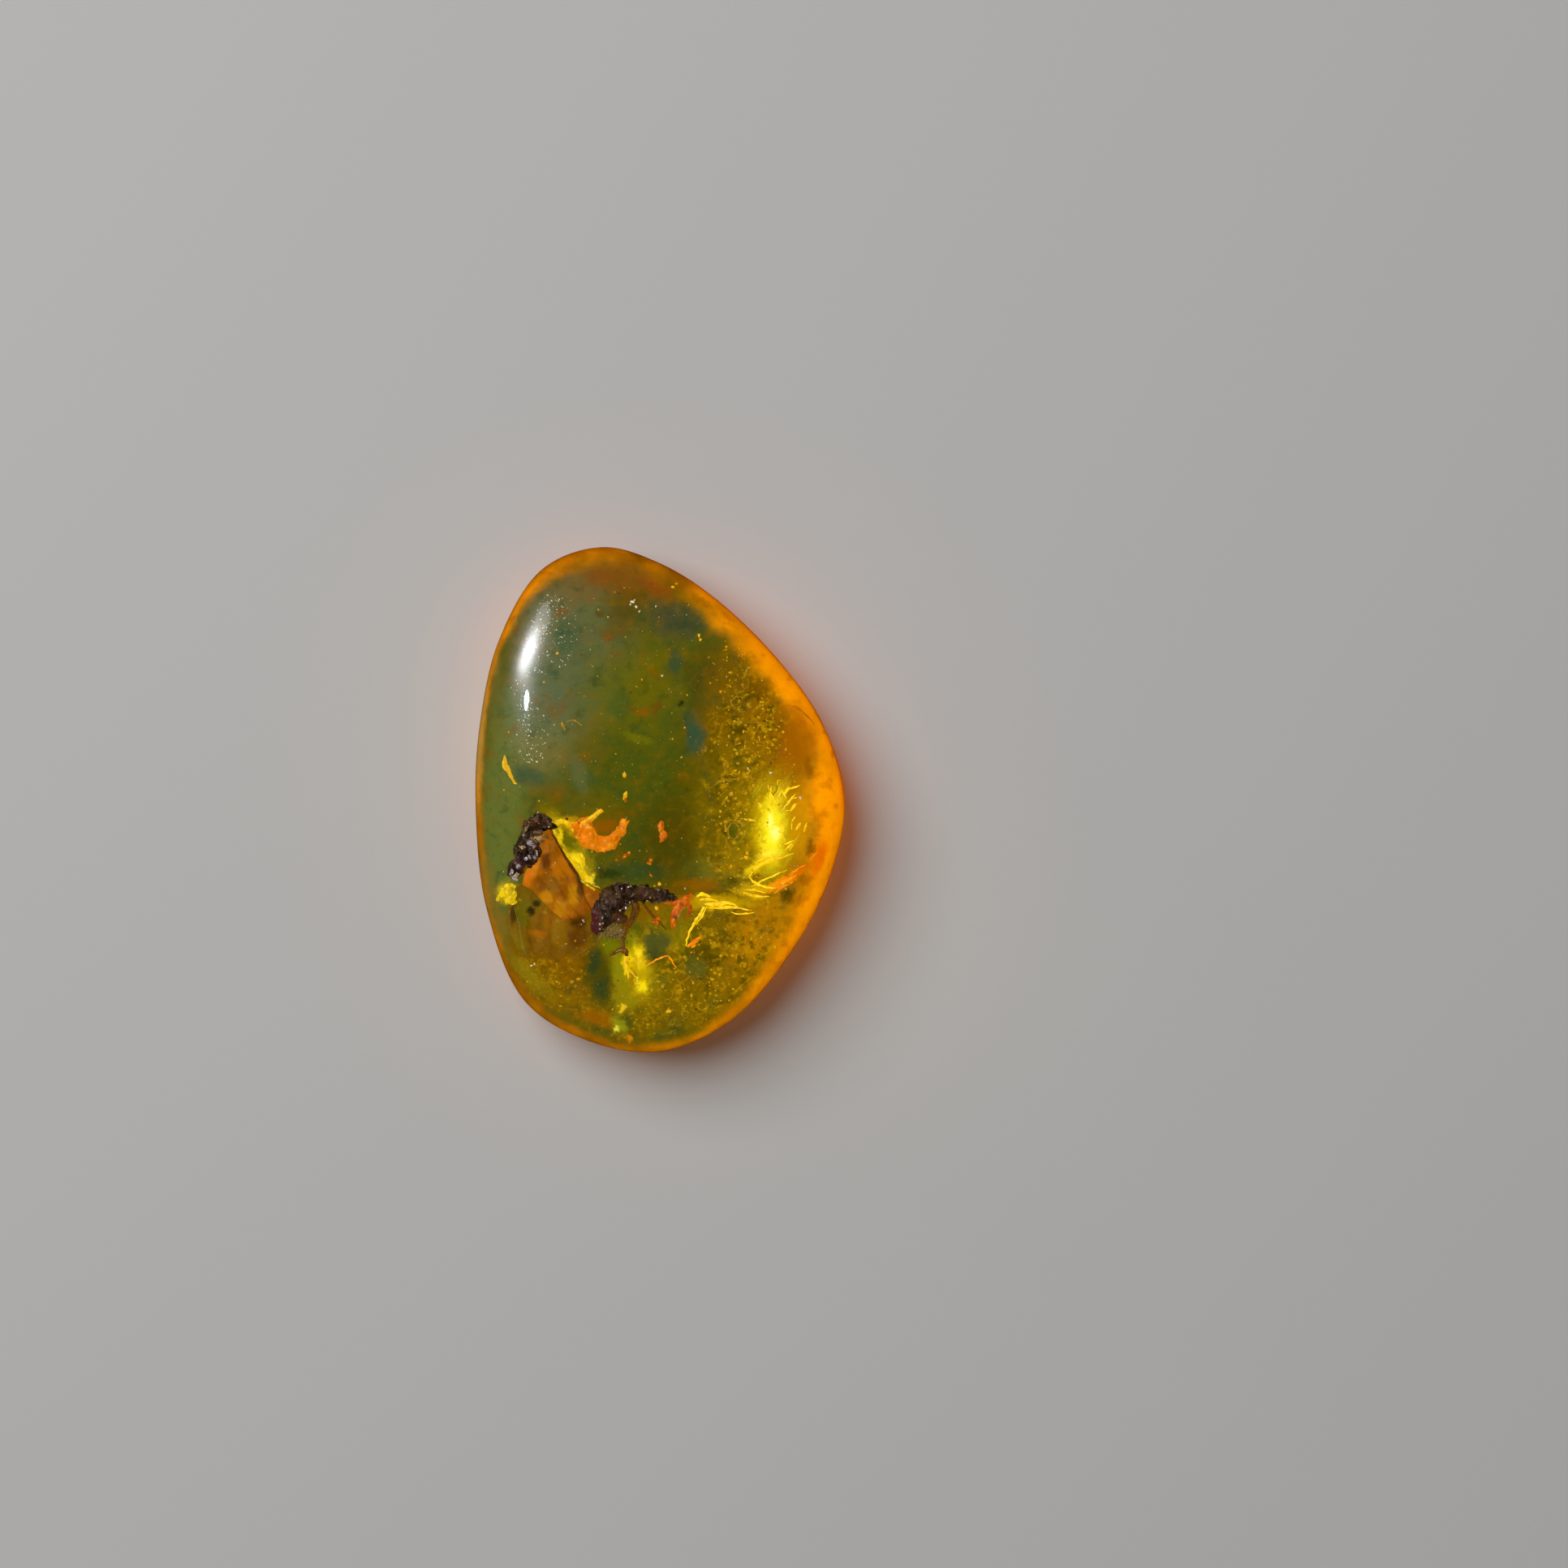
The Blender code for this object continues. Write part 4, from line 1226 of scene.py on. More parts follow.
def ringed_widths():
    """The back's widths at every step of its line, with the rings of the abdomen."""
    last = (len(BACK) - 1) * BACK_STEPS
    widths = []
    for i in range(last + 1):
        share = i / last
        ring = RING_DEPTH * math.sin(share * math.tau * RINGS_ALONG) * (share < ABDOMEN_SHARE)
        widths.append(along(BACK_WIDTHS, share) * (1 + ring))
    return widths


def skin_folds():
    """Short bent folds of the pale, wrinkled skin below the thorax."""
    rng = random.Random(SKIN_SEED)
    folds = []
    for _ in range(SKIN_FOLDS):
        u, v = rng.uniform(741, 766), rng.uniform(1140, 1156)
        turn = rng.uniform(0.2, 2.6)
        reach = rng.uniform(4, 10)
        bend = rng.uniform(-3, 3)
        east, north = reach * math.cos(turn), reach * math.sin(turn)
        spots = ((u - east, v + north), (u + bend, v + bend), (u + east, v - north))
        folds.append((spots, (0.6, 1.8, 0.6), rng.uniform(0.0, 0.2), 6))
    return folds


insect_part(
    "wingless_insect_body", CHITIN, WINGLESS,
    ((BACK, ringed_widths(), 0.1, 30, 0.72, BACK_STEPS),), WINGLESS_LUMPS,
    ((0.16, 0.36, 2.0), (0.1, 0.17, 4.0), (0.04, 0.08, 7.0)),
)
insect_part(
    "wingless_insect_ridges", DUN, WINGLESS, ridges(WINGLESS_RIDGES, (0.4, 0.4), 0.5), (),
    ((0.09, 0.12, 0.0),),
)
insect_part("wingless_insect_glints", SILVER, WINGLESS, (), glints(WINGLESS_GLINTS, 0.5, 0.55))
insect_part("wingless_insect_thin_legs", BROWN, WINGLESS, THIN_LEGS, (), ((0.06, 0.16, 0.0),))
insect_part("wingless_insect_red_legs", REDLEG, WINGLESS, RED_LEGS, (), ((0.06, 0.16, 0.0),))
insect_part("leg_gleams", TAN, WINGLESS, ridges(LEG_GLEAMS, (0.5, 0.5), 0.4, 1.0))
insect_part("crumpled_skin", PALE, SKIN, skin_folds(), (SKIN_LUMP,), ((0.05, 0.15, 0.0),))

# ---------------------------------------------------------------- plant debris


def debris(name, finish, slot, pieces, replaces=(), crumple=1.0):
    """Crumpled strips in one piece: spots, widths, lift in mm above the bed, flatness."""
    bm = bmesh.new()
    for number, (spots, widths, lift, flat) in enumerate(pieces):
        verts = tube(bm, spots, widths, lift, 12, flat, 7)
        crumpled(verts, 0.09 * MM * crumple, 0.3 * MM, number)
        crumpled(verts, 0.04 * MM * crumple, 0.11 * MM, number + 5.0)
    return finished(name, bm, finish, slot, replaces)


FLAKE_THICKNESS = 0.1 * MM
FLAKE_TOP = (
    (703, 1014), (712, 1012), (720, 1008), (727, 1007), (731, 1016), (736, 1025), (744, 1030),
    (751, 1028), (755, 1021), (762, 1020), (766, 1009),
)
FLAKE_BOTTOM = (
    (703, 1016), (706, 1025), (712, 1033), (717, 1042), (729, 1045), (741, 1051), (750, 1046),
    (760, 1044), (763, 1034), (770, 1029), (775, 1012),
)


def flake_folds(across, down):
    """The flake's folds: lift of the sheet, without vein or fading."""
    waves = noise.noise(Vector((across * 2.2, down * 7.0, 3.0)))
    waves += 0.5 * noise.noise(Vector((across * 5.0, down * 16.0, 8.0)))
    return (0.2 * waves + 0.16 * math.sin(math.pi * across)) * MM, 0.0, 0.0


def bark_flake():
    """A thin crumpled sheet of bark with a ragged edge."""
    bm = bmesh.new()
    edges = [[seen(u, v) for u, v in side] for side in (FLAKE_TOP, FLAKE_BOTTOM)]
    verts = sheet(bm, *edges, flake_folds, FLAKE_THICKNESS)
    crumpled(verts, 0.2 * MM, 0.4 * MM, 4.0)
    crumpled(verts, 0.08 * MM, 0.15 * MM, 9.0)
    return finished("orange_bark_flake", bm, BARK, "bark_orange", ("bark_flake",))


bark_flake()
debris("yellow_plant_splinter", STRAW, "splinter_gold", (
    (((712, 1024), (716, 1019), (724, 1012)), (4, 9, 7), 0.0, 0.4),
    (((718, 1016), (730, 1007), (742, 998)), (6, 6.5, 6, 5), 0.1, 0.6),
), ("plant_splinter",), 0.4)
debris("edge_splinter", STRAW, "splinter_gold", (
    (((621, 931), (623, 944), (629, 956), (635, 966)), (3, 7, 6, 4, 2), 0.0, 0.5),
), ("side_splinter",))
debris("small_orange_flake", ORANGE, "bark_orange", (
    (((816, 1011), (814, 1020), (817, 1029), (815, 1038)), (3, 7, 6, 8, 2), 0.0, 0.5),
), ("small_flake",))

# Loose crumbs: where each shows, its half sizes in frame units and its turn
ORANGE_CRUMBS = (
    ((770, 1055), (3.2, 2.2), 30), ((774, 1052), (1.6, 2.2), 0), ((759, 1060), (1.6, 1.4), 0),
    ((802, 1060), (1.8, 2.6), 0), ((800, 1064), (2, 1.4), 0), ((807, 1136), (3, 4), 40),
    ((811, 1132), (2, 2), 0), ((801, 1079), (1.2, 1.2), 0), ((770, 985), (1.4, 3.4), 15),
)
YELLOW_CRUMBS = (
    ((770, 980), (2, 6), -15), ((769, 955), (1.4, 3), -15), ((861, 783), (1.4, 2.4), 0),
    ((863, 788), (1.4, 1.4), 0), ((829, 723), (3, 1.2), 10), ((833, 719), (1.2, 1.6), 0),
    ((687, 805), (1.2, 1.4), 0), ((783, 1182), (2, 2), 0),
    ((812, 1090), (2, 1.6), 0), ((809, 1119), (1.6, 2.6), 10), ((824, 1246), (3.4, 1.4), 10),
    ((900, 1068), (1.6, 2.2), 0), ((919, 1057), (2, 2.6), 30), ((921, 1052), (1.4, 1.6), 0),
)
PALE_CRUMBS = (
    ((779, 742), (2.2, 0.8), 20), ((777, 744.5), (0.7, 1.4), 0), ((783, 747), (1.3, 0.8), -20),
    ((782, 739), (0.8, 0.7), 0), ((787, 754), (0.8, 0.7), 0), ((808, 747), (0.7, 0.7), 0),
    ((816, 833), (0.9, 0.8), 0), ((986, 983), (0.9, 2), 0), ((922, 947), (1, 0.7), 0),
    ((950, 952), (1, 0.6), 30), ((654, 1190), (1.3, 0.7), 20), ((658, 1188), (0.6, 0.8), 0),
)
CRUMB_LIFT = 0.1  # in mm
CRUMB_RISE = 0.14


def crumbs(name, finish, slot, places, seed):
    bm = bmesh.new()
    for number, (spot, half_sizes, turn) in enumerate(places):
        verts = lump(bm, spot, half_sizes, CRUMB_LIFT, turn, CRUMB_RISE)
        crumpled(verts, 0.09 * MM, 0.16 * MM, seed + number)
    return finished(name, bm, finish, slot)


crumbs("orange_crumbs", ORANGE, "bark_orange", ORANGE_CRUMBS, 20.0)
crumbs("yellow_crumbs", STRAW, "splinter_gold", YELLOW_CRUMBS, 50.0)
crumbs("pale_crumbs", GRAIN, "splinter_gold", PALE_CRUMBS, 80.0)

# ---------------------------------------------------------------- sunlit cracks and folds

# Lines over the cloudy core: spots and widths in frame units
SUNLIT_LINES = (
    (((922, 1080), (932, 1069), (946, 1062), (962, 1057), (978, 1051)), (1, 3, 3.4, 2.4, 0.6)),
    (((930, 1064), (942, 1058), (954, 1056)), (0.6, 2.6, 0.6)),
    (((965.6, 979.6), (974, 968.9)), (1, 3.4, 1)), (((970, 972), (986, 968)), (1, 2.4, 1)),
    (((973, 999.5), (981.7, 989.5)), (1, 4, 1)), (((975, 1013), (979, 1006)), (1, 3, 1)),
    (((981.6, 1022.4), (987, 1013)), (1, 3.4, 1)), (((964, 1027), (965.6, 1016)), (1, 3, 1)),
    (((990, 1025), (994, 1014)), (1, 2.4, 1)), (((958, 992), (962, 975)), (0.6, 2, 0.6)),
    (((948, 996), (950, 968)), (0.6, 2, 0.6)), (((940, 1003), (933, 985)), (0.6, 2, 0.6)),
    (((931, 1012), (913, 1008)), (1, 3, 0.6)), (((962, 1000), (980, 978)), (0.6, 2, 0.6)),
    (((966, 1040), (978, 1036)), (0.6, 2.4, 0.6)), (((968, 1048), (976, 1040)), (1, 3, 1)),
    (((916, 1100), (930, 1104), (948, 1105)), (0.8, 3.4, 0.8)),
    (((918, 1096), (930, 1097), (944, 1100)), (0.6, 2.4, 0.6)),
    (((922, 1080), (930, 1087), (944, 1093), (958, 1094)), (0.8, 3, 2.4, 0.6)),
    (((926, 1092), (938, 1086), (954, 1078), (970, 1072)), (0.6, 2, 2, 0.6)),
    (((858, 1105), (866, 1102), (876, 1105)), (1, 5, 1)),
    (((862, 1109), (872, 1108), (884, 1111)), (1, 4, 1)),
    (((868, 1114), (880, 1115), (894, 1113), (908, 1116)), (1, 5, 4, 0.6)),
    (((872, 1119), (886, 1119), (905, 1118), (926, 1122)), (1, 3, 3, 0.6)),
    (((900, 1124), (914, 1126), (930, 1124)), (0.6, 2, 0.6)),
    (((867, 1117), (861, 1129), (853, 1141), (848, 1152), (845, 1166)), (2, 3, 3, 2, 0.8)),
    (((871, 1117), (864, 1130), (858, 1139)), (0.8, 2, 0.6)),
    (((770, 1176), (771, 1190), (774, 1206)), (0.6, 2.4, 0.8)),
)
WISP_LINES = (
    (((692, 889), (693, 894), (695, 900)), (1, 3, 1)),
    (((697, 890), (706, 887), (717, 894)), (0.6, 1.6, 0.6)),
    (((902, 892), (912, 889), (928, 890), (946, 891)), (2.4, 2.4, 1.4, 0.6)),
    (((872, 973), (882, 966), (892, 961), (902, 961), (911, 960)), (0.6, 2, 4, 2, 0.6)),
    (((893, 1020), (896, 1012), (903, 1010), (912, 1013), (918, 1018)), (2, 2, 1.6, 2, 4)),
)
PALE_LINES = (
    (((633, 1115), (636, 1127), (640, 1139), (642, 1159), (648, 1180)), (1, 0.9, 0.8, 0.9, 0.6)),
    (((704, 1182), (718, 1172), (733, 1162)), (0.4, 0.8, 0.4)),
    (((720, 1086), (728, 1091), (740, 1095)), (0.5, 1.2, 0.5)),
)
DARK_LINES = (
    (((972, 868), (982, 872), (994, 882), (1004, 893)), (0.6, 2.4, 3, 1)),
    (((984, 884), (992, 894), (998, 908)), (0.6, 1.6, 0.6)),
)
# Orange folds, their bright orange partly painted streaks of light beside the glow
BEAM_LINES = (
    (((948, 1100), (958, 1092), (970, 1085), (982, 1078)), (1, 3.4, 3.4, 0.8)),
    (((954, 1101), (966, 1092), (978, 1086)), (0.8, 3, 0.8)),
    (((970, 1078), (980, 1073), (992, 1066)), (0.8, 2.4, 0.8)),
    (((998, 1058), (1002, 1055), (1006, 1050)), (0.6, 2, 0.6)),
    (((847, 1167), (855, 1161), (864, 1155)), (2, 6, 2)), (((852, 1168), (858, 1164)), (1, 3, 1)),
    (((796, 1191), (806, 1184), (817, 1179), (824, 1177)), (0.6, 1.6, 2.4, 1.4)),
    (((824, 1178), (828, 1184), (833, 1192)), (1.4, 1.8, 0.6)),
)


def lines(name, finish, slot, routes, lift, flat=0.5):
    """Crumpled lines in one piece, their lift in mm from the core towards the eye."""
    bm = bmesh.new()
    for number, (spots, widths) in enumerate(routes):
        line = spline([over_core(u, v, lift * MM) for u, v in spots], 9)
        verts = swept(bm, line, [width * UNIT / 2 for width in widths], 8, flat)
        crumpled(verts, 0.05 * MM, 0.3 * MM, number)
        crumpled(verts, 0.03 * MM, 0.12 * MM, number)
    return finished(name, bm, finish, slot)


lines("sunlit_cracks", SUNLIT, "amber", SUNLIT_LINES, 0.35)
lines("gold_wisps", CELL, "amber", WISP_LINES, 0.35)
lines("pale_fibres", PALE, "splinter_gold", PALE_LINES, 1.3, 1.0)
lines("dark_cracks", RUST, "bark_orange", DARK_LINES, 0.4)
lines("orange_folds_and_light_streaks", FLAME, "amber", BEAM_LINES, 0.3)

# The bright folds between the winged insect and the bark flake, and those by its tail
BRIGHT_FOLDS = (
    (((682, 1015), (690, 1012), (700, 1015)), (4, 7, 4), -0.1, 0.4),
    (((684, 1017), (686, 1027), (689, 1038), (694, 1048)), (3, 5, 5, 2), -0.1, 0.3),
    (((692, 1047), (698, 1055), (706, 1064)), (3, 5, 4), -0.15, 0.3),
    (((706, 1060), (712, 1068), (719, 1078)), (3, 7, 6), -0.1, 0.3),
    (((704, 1017), (710, 1025), (714, 1034)), (2, 4, 2), -0.15, 0.3),
    (((716, 1048), (719, 1057), (719, 1066)), (2, 3, 2), -0.15, 0.3),
    (((717, 1076), (723, 1083), (730, 1088)), (6, 9, 3), -0.1, 0.3),
    (((722, 1088), (730, 1092), (740, 1095)), (2, 2.6, 1), 0.0, 0.5),
    (((716, 1084), (724, 1091), (732, 1097)), (1, 2.4, 1), 0.1, 0.5),
    (((612, 1110), (616, 1104), (619, 1094)), (4, 5, 3), -0.1, 0.4),
    (((617, 1108), (623, 1102), (627, 1091)), (5, 8, 3), -0.05, 0.4),
    (((622, 1112), (630, 1108), (635, 1099)), (4, 9, 4), -0.1, 0.4),
    (((621, 1092), (628, 1090), (636, 1092)), (3, 6, 3), -0.1, 0.4),
    (((626, 1111), (632, 1114), (637, 1110)), (2, 3, 2), -0.1, 0.4),
    (((772, 1178), (773, 1190), (771, 1201)), (2, 5, 2), -0.3, 0.4),
    (((787, 1172), (790, 1182), (787, 1194)), (2, 6, 2), -0.4, 0.3),
    (((776, 1196), (783, 1203), (786, 1212)), (1, 3, 1), -0.4, 0.4),
)
debris("bright_folds", FOLD, "amber", BRIGHT_FOLDS)

# Single rings of bubbles, seen from above, their bright rims painted light: spot, half sizes in frame
# units, wire width
RINGS = (
    ((904, 1024), (7, 10), 1.6), ((844, 1250), (4.4, 4.4), 1.4), ((823, 1234), (3, 3), 1.0),
    ((917, 1012), (5, 4), 1.2), ((999, 1043), (6, 10), 0.6),
)
RING_STEPS = 24


def bubble_rims():
    """Thin rims of single bubbles, bright with painted light caught at each rim."""
    bm = bmesh.new()
    turns = [math.tau * k / RING_STEPS for k in range(RING_STEPS + 1)]
    for number, ((u, v), (a, b), width) in enumerate(RINGS):
        line = [over_core(u + a * math.cos(t), v + b * math.sin(t), 0.4 * MM) for t in turns]
        verts = swept(bm, line, [width * UNIT / 2] * 2, 6)
        crumpled(verts, 0.06 * MM, 0.25 * MM, number)
    return finished("bubble_rims", bm, CELL, "amber")


bubble_rims()

# ---------------------------------------------------------------- strewn bubbles and grains

STREW_INPUTS = (
    ("Carrier", "NodeSocketGeometry"), ("Density", "NodeSocketFloat"), ("Seed", "NodeSocketInt"),
    ("Smallest", "NodeSocketFloat"), ("Largest", "NodeSocketFloat"), ("Tilt", "NodeSocketFloat"),
    ("Depth", "NodeSocketFloat"), ("Unevenness", "NodeSocketFloat"),
    ("Finish", "NodeSocketMaterial"),
)
SIZE_SKEW = 3.0  # most of what is strewn is near the smallest size


class Strewing(Tree):
    """A Geometry Nodes tree that strews copies of one small solid over a carrier's faces."""

    def __init__(self, name, solid):
        self.group = bpy.data.node_groups.new(name, "GeometryNodeTree")
        super().__init__(self.group)
        self.sockets = {
            title: self.group.interface.new_socket(title, in_out="INPUT", socket_type=kind)
            for title, kind in STREW_INPUTS
        }
        self.group.interface.new_socket("Strewn", in_out="OUTPUT", socket_type="NodeSocketGeometry")
        given = {title: self.node("NodeGroupInput", output=title) for title, _ in STREW_INPUTS}
        points = self.node(
            "GeometryNodeDistributePointsOnFaces", {"distribute_method": "RANDOM"},
            {"Mesh": given["Carrier"], "Density": given["Density"], "Seed": given["Seed"]},
        )
        lift = self.node("ShaderNodeCombineXYZ", None, {"Z": self.random(given, "Depth", 1)})
        points = self.node("GeometryNodeSetPosition", None, {"Geometry": points, "Offset": lift})
        turn = self.node("ShaderNodeCombineXYZ", None, {
            "X": self.random(given, "Tilt", 2), "Y": self.random(given, "Tilt", 3),
            "Z": self.chance(given, 4) * math.tau,
        })
        size = self.chance(given, 5) ** SIZE_SKEW * (given["Largest"] - given["Smallest"])
        strewn = self.node("GeometryNodeInstanceOnPoints", None, {
            "Points": points, "Instance": solid(self), "Rotation": turn,
            "Scale": size + given["Smallest"],
        })
        strewn = self.node("GeometryNodeRealizeInstances", None, {"Geometry": strewn})
        drift = self.node("ShaderNodeVectorMath", {"operation": "SCALE"}, {
            "Vector": self.drift(3000.0, 2.0), "Scale": given["Unevenness"],
        })
        strewn = self.node("GeometryNodeSetPosition", None, {"Geometry": strewn, "Offset": drift})
        strewn = self.node("GeometryNodeSetMaterial", None, {
            "Geometry": strewn, "Material": given["Finish"],
        })
        end = self.nodes.new("NodeGroupOutput")
        self.put(end.inputs["Strewn"], strewn)

    def chance(self, given, offset):
        """An even random number from 0 to 1, its own for each point."""
        return self.node(
            "FunctionNodeRandomValue", {"data_type": "FLOAT"}, {"Seed": given["Seed"] + offset},
            "Value",
        )

    def random(self, given, title, offset):
        """A random number from minus a given value to plus it."""
        return (self.chance(given, offset) * 2 - 1) * given[title]


def bead(tree):
    return tree.node("GeometryNodeMeshUVSphere", None, {"Segments": 8, "Rings": 5, "Radius": 1.0})


def hoop(tree):
    circle = "GeometryNodeCurvePrimitiveCircle"
    wire = tree.node(circle, {"mode": "RADIUS"}, {"Resolution": 5, "Radius": 0.08})
    round_line = tree.node(circle, {"mode": "RADIUS"}, {"Resolution": 14, "Radius": 1.0})
    return tree.node(
        "GeometryNodeCurveToMesh", None, {"Curve": round_line, "Profile Curve": wire}
    )


def spangle(tree):
    return tree.node("GeometryNodeMeshCylinder", {"fill_type": "NGON"}, {
        "Vertices": 5, "Radius": 1.0, "Depth": 0.3,
    })


def sliver(tree):
    ball = tree.node("GeometryNodeMeshUVSphere", None, {"Segments": 5, "Rings": 4, "Radius": 1.0})
    return tree.node("GeometryNodeTransform", None, {"Geometry": ball, "Scale": (1.0, 0.14, 0.14)})


CARRIER_SIDES = 20
CARRIER_RINGS = (0.25, 0.5, 0.75, 1.0)  # shares of the half sizes


def carrier_of(places, where):
    """Discs over the given ellipses: spot, half sizes in frame units, turn in degrees."""
    bm = bmesh.new()
    for (u, v), (a, b), turn in places:
        turn = math.radians(turn)
        rings = []
        for reach in CARRIER_RINGS:
            ring = []
            for k in range(CARRIER_SIDES):
                x = a * reach * math.cos(math.tau * k / CARRIER_SIDES)
                y = b * reach * math.sin(math.tau * k / CARRIER_SIDES)
                east = x * math.cos(turn) - y * math.sin(turn)
                north = x * math.sin(turn) + y * math.cos(turn)
                ring.append(bm.verts.new(where(u + east, v - north)))
            rings.append(ring)
        bm.faces.new(rings[0])
        for inner, outer in zip(rings, rings[1:]):
            for k in range(CARRIER_SIDES):
                j = (k + 1) % CARRIER_SIDES
                bm.faces.new((inner[k], outer[k], outer[j], inner[j]))
    mesh = bpy.data.meshes.new("carrier")
    bm.to_mesh(mesh)
    bm.free()
    return mesh


def strewn(
    name, tree, finish, slot, count, sizes, places, where, seed, tilt, depth, uneven=0.0
):
    """Strews a count of solids over ellipses; sizes in frame units, depth and uneven in mm."""
    mesh = carrier_of(places, where)
    area = sum(face.area for face in mesh.polygons)
    carrier = bpy.data.objects.new("carrier", mesh)
    bpy.context.scene.collection.objects.link(carrier)
    modifier = carrier.modifiers.new("strew", "NODES")
    modifier.node_group = tree.group
    for title, value in (
        ("Density", count / area), ("Seed", seed), ("Smallest", sizes[0] * UNIT / 2),
        ("Largest", sizes[1] * UNIT / 2), ("Tilt", tilt), ("Depth", depth * MM),
        ("Unevenness", uneven * MM), ("Finish", finish.material),
    ):
        modifier[tree.sockets[title].identifier] = value
    depsgraph = bpy.context.evaluated_depsgraph_get()
    made = bpy.data.meshes.new_from_object(carrier.evaluated_get(depsgraph))
    made.name = name
    bpy.data.objects.remove(carrier)
    bpy.data.meshes.remove(mesh)
    return settled(name, made, finish, slot)


def near_core(u, v):
    """A little over the cloudy core."""
    return over_core(u, v, 0.45 * MM)


def mid_amber(u, v):
    """Half way from the cloudy core to the skin."""
    return over_core(u, v, 1.6 * MM)


def near_skin(u, v):
    """Just inside the dome."""
    return under_dome(u, v, 0.25 * MM)


# Where things are strewn: spot, half sizes in frame units and turn in degrees
GOLD_FIELD = (
    ((925, 870), (28, 80), 18), ((945, 940), (34, 60), 12), ((915, 1010), (36, 66), 0),
    ((935, 1080), (46, 28), 0), ((893, 870), (8, 84), 0),
)
LOWER_FIELD = (((890, 1185), (70, 52), 30), ((690, 1195), (42, 46), 0), ((815, 1240), (70, 30), 0))
SUNLIT_FIELD = (((958, 1010), (30, 50), 0),)
WHOLE_FIELD = (((800, 985), (190, 275), 8), ((780, 900), (140, 180), 0))
SHINE_FIELD = (
    ((668, 768), (13, 42), -24), ((676, 742), (12, 18), -20), ((662, 800), (18, 34), -10),
    ((690, 776), (22, 46), 0), ((640, 848), (12, 30), 0), ((648, 876), (8, 34), 0),
    ((655, 905), (20, 40), 0),
)

BEADS = Strewing("strew_beads", bead)
HOOPS = Strewing("strew_hoops", hoop)
SPANGLES = Strewing("strew_spangles", spangle)
SLIVERS = Strewing("strew_slivers", sliver)

strewn("gold_hoops", HOOPS, CELL, "amber", 10, (5, 13), GOLD_FIELD, near_core, 3, 0.9, 0.2, 0.6)
strewn("lower_hoops", HOOPS, CELL, "amber", 10, (5, 10), LOWER_FIELD, near_core, 5, 0.9, 0.2, 0.3)
strewn(
    "gold_spangles", SPANGLES, GOLD, "amber", 420, (0.8, 4.4), GOLD_FIELD, near_core, 7, 1.2, 0.3,
    0.35,
)
strewn(
    "lower_spangles", SPANGLES, GOLD, "amber", 240, (0.8, 4), LOWER_FIELD, near_core, 11, 1.2, 0.3,
    0.2,
)
strewn("sunlit_slivers", SLIVERS, SUNLIT, "amber", 26, (5, 16), SUNLIT_FIELD, near_core, 13, 0.5, 0.2)
strewn("gold_motes", BEADS, GOLD, "amber", 200, (0.7, 2.6), WHOLE_FIELD, mid_amber, 17, 0.0, 1.0)
strewn("brown_motes", BEADS, BROWN, "bark_orange", 70, (1, 4), WHOLE_FIELD, mid_amber, 19, 0.0, 0.8)
strewn("air_grains", BEADS, DUST, "amber", 240, (0.6, 1.8), WHOLE_FIELD, near_skin, 23, 0.0, 0.1)
# Painted sparkles of light: tiny bright grains that break up the highlights on the dome
strewn("shine_grains", BEADS, GRAIN, "amber", 520, (0.45, 2.2), SHINE_FIELD, near_skin, 29, 0.0, 0.05)

# ---------------------------------------------------------------- camera, floor and light

camera = bpy.data.objects.new("camera", bpy.data.cameras.new("camera"))
camera.data.lens = LENS_MM
camera.data.sensor_width = SENSOR_MM
camera.data.clip_start = CAMERA_NEAREST
camera.location = EYE
bpy.context.scene.collection.objects.link(camera)
bpy.context.scene.camera = camera

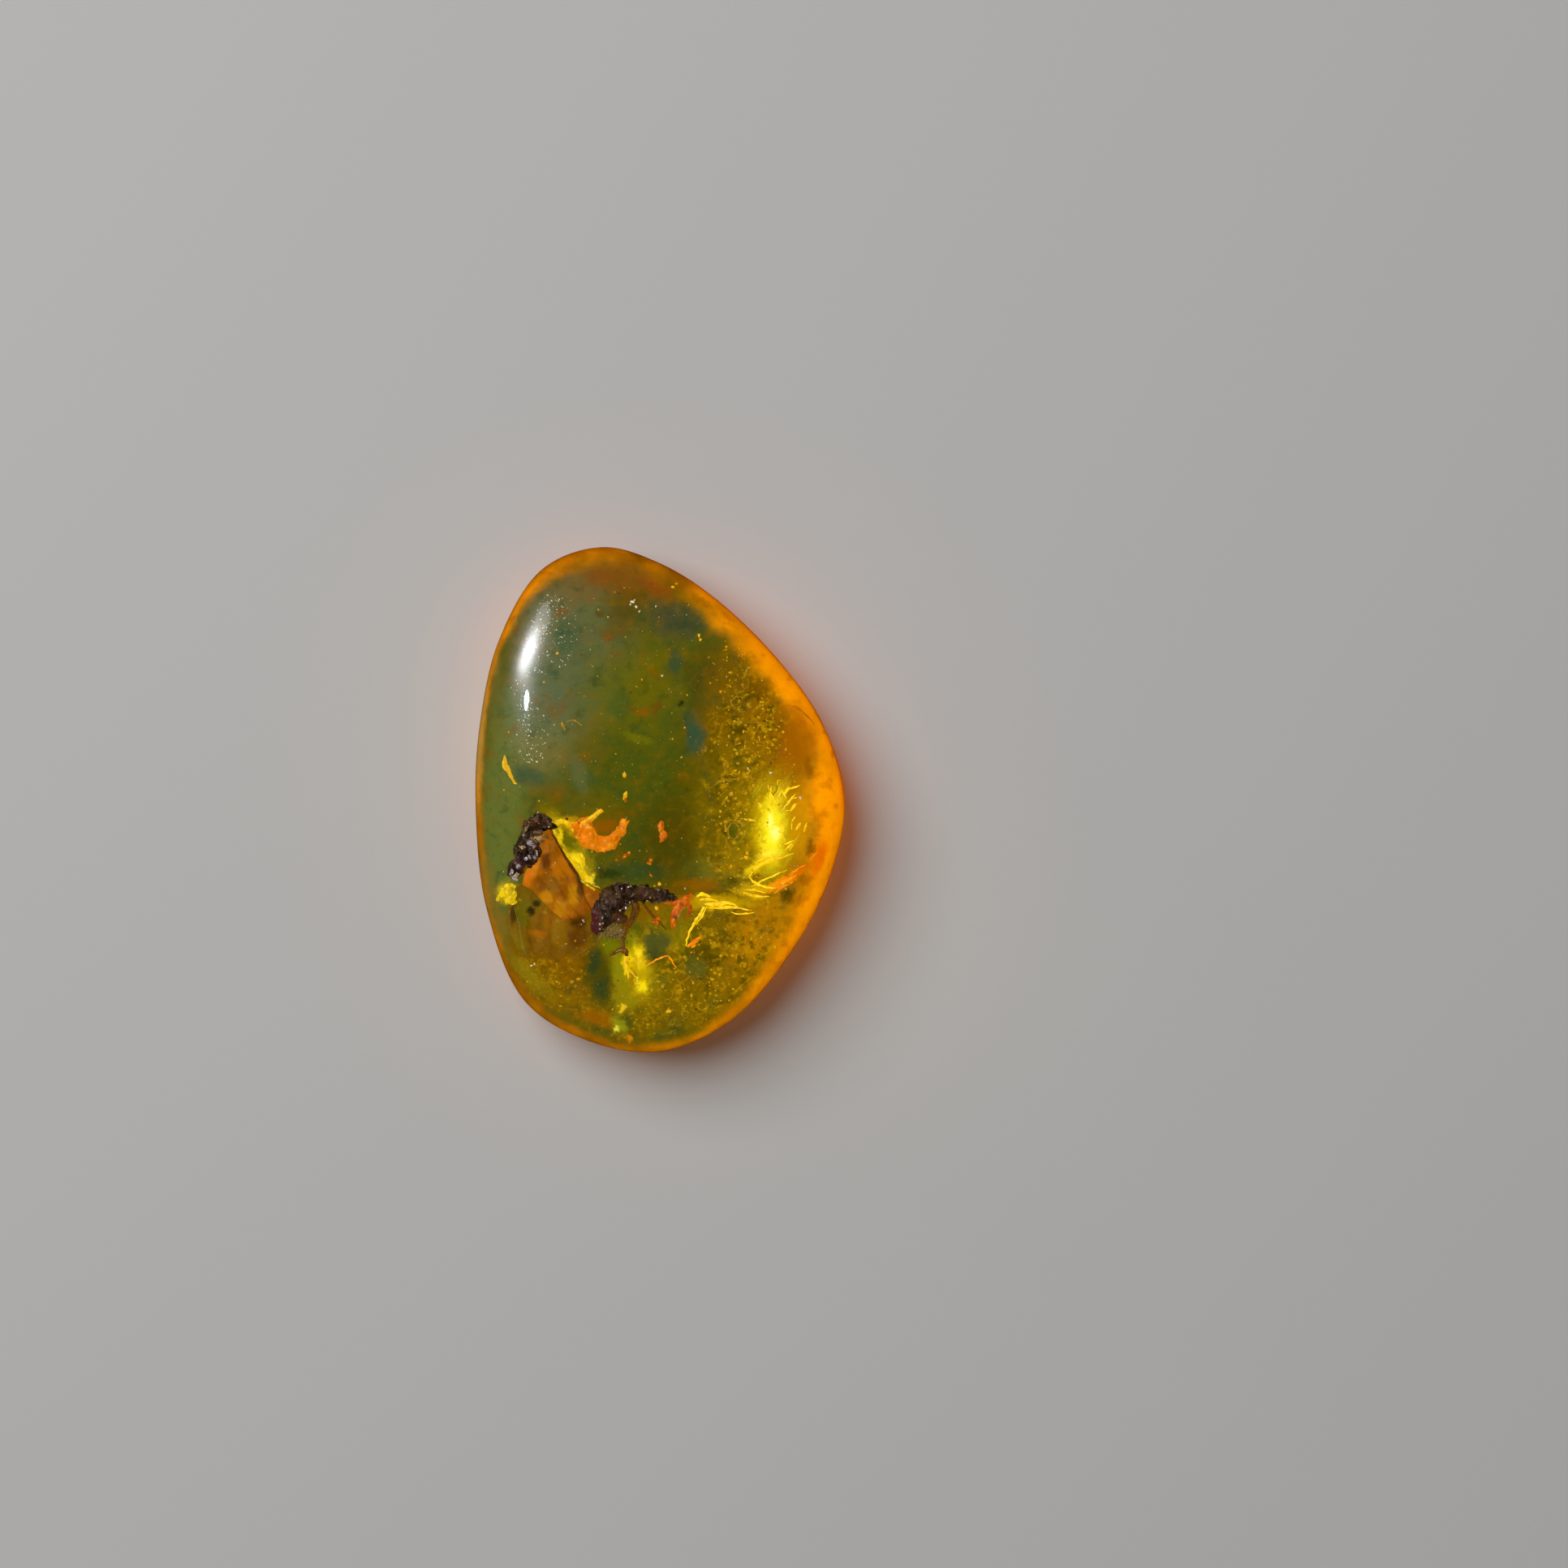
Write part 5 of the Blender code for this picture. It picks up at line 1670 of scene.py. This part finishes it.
FLOOR_REACH = 1.5
FLOOR_SINK = 0.02 * MM
floor_form = bmesh.new()
bmesh.ops.create_grid(floor_form, x_segments=1, y_segments=1, size=FLOOR_REACH)
bmesh.ops.translate(floor_form, vec=(0, 0, -FLOOR_SINK), verts=floor_form.verts)
floor_mesh = bpy.data.meshes.new("floor")
floor_form.to_mesh(floor_mesh)
floor_form.free()
floor = bpy.data.objects.new("floor", floor_mesh)
bpy.context.scene.collection.objects.link(floor)
FLOOR = Finish("pale_floor", Base_Color=(0.72, 0.71, 0.69), Roughness=0.8)
floor_mesh.materials.append(FLOOR.material)
floor.visible_glossy = False  # the polished skin mirrors a dark room


def softbox(name, azimuth, elevation, distance, size, watts, colour=(1, 1, 1), roll=0.0):
    """An elliptic lamp that faces the pebble: its size is across and upwards, angles in degrees."""
    lamp = bpy.data.lights.new(name, "AREA")
    lamp.shape = "ELLIPSE"
    lamp.size, lamp.size_y = size
    lamp.energy = watts
    lamp.color = colour
    obj = bpy.data.objects.new(name, lamp)
    azimuth, elevation = math.radians(azimuth), math.radians(elevation)
    aim = Vector((
        math.cos(azimuth) * math.cos(elevation), math.sin(azimuth) * math.cos(elevation),
        math.sin(elevation),
    ))
    obj.location = aim * distance
    facing = aim.to_track_quat("Z", "Y") @ Quaternion((0, 0, 1), math.radians(roll))
    obj.rotation_euler = facing.to_euler()
    bpy.context.scene.collection.objects.link(obj)
    return obj


# The lamps that the dome mirrors; they don't light rough surfaces
for catch_light in (
    softbox("highlight_upper", 153.6, 6.5, 0.35, (0.018, 0.07), 0.65, (0.93, 0.95, 1.0), 14),
    softbox("highlight_lower", 163.8, 17.9, 0.35, (0.03, 0.036), 0.07, (0.75, 0.85, 1.0)),
    softbox("sheen", 142, 7, 0.35, (0.09, 0.12), 0.045, (0.9, 0.95, 1.0)),
):
    catch_light.visible_diffuse = False
overhead = softbox("overhead", 140, 55, 0.6, (0.5, 0.5), 2.6)
overhead.visible_glossy = False

ROOM_LIGHT = (0.06, 0.06, 0.06, 1)
world = bpy.data.worlds.new("studio")
bpy.context.scene.world = world
world.use_nodes = True
world.node_tree.nodes["Background"].inputs["Color"].default_value = ROOM_LIGHT
world.cycles_visibility.glossy = False
bpy.context.scene.view_settings.view_transform = "Standard"
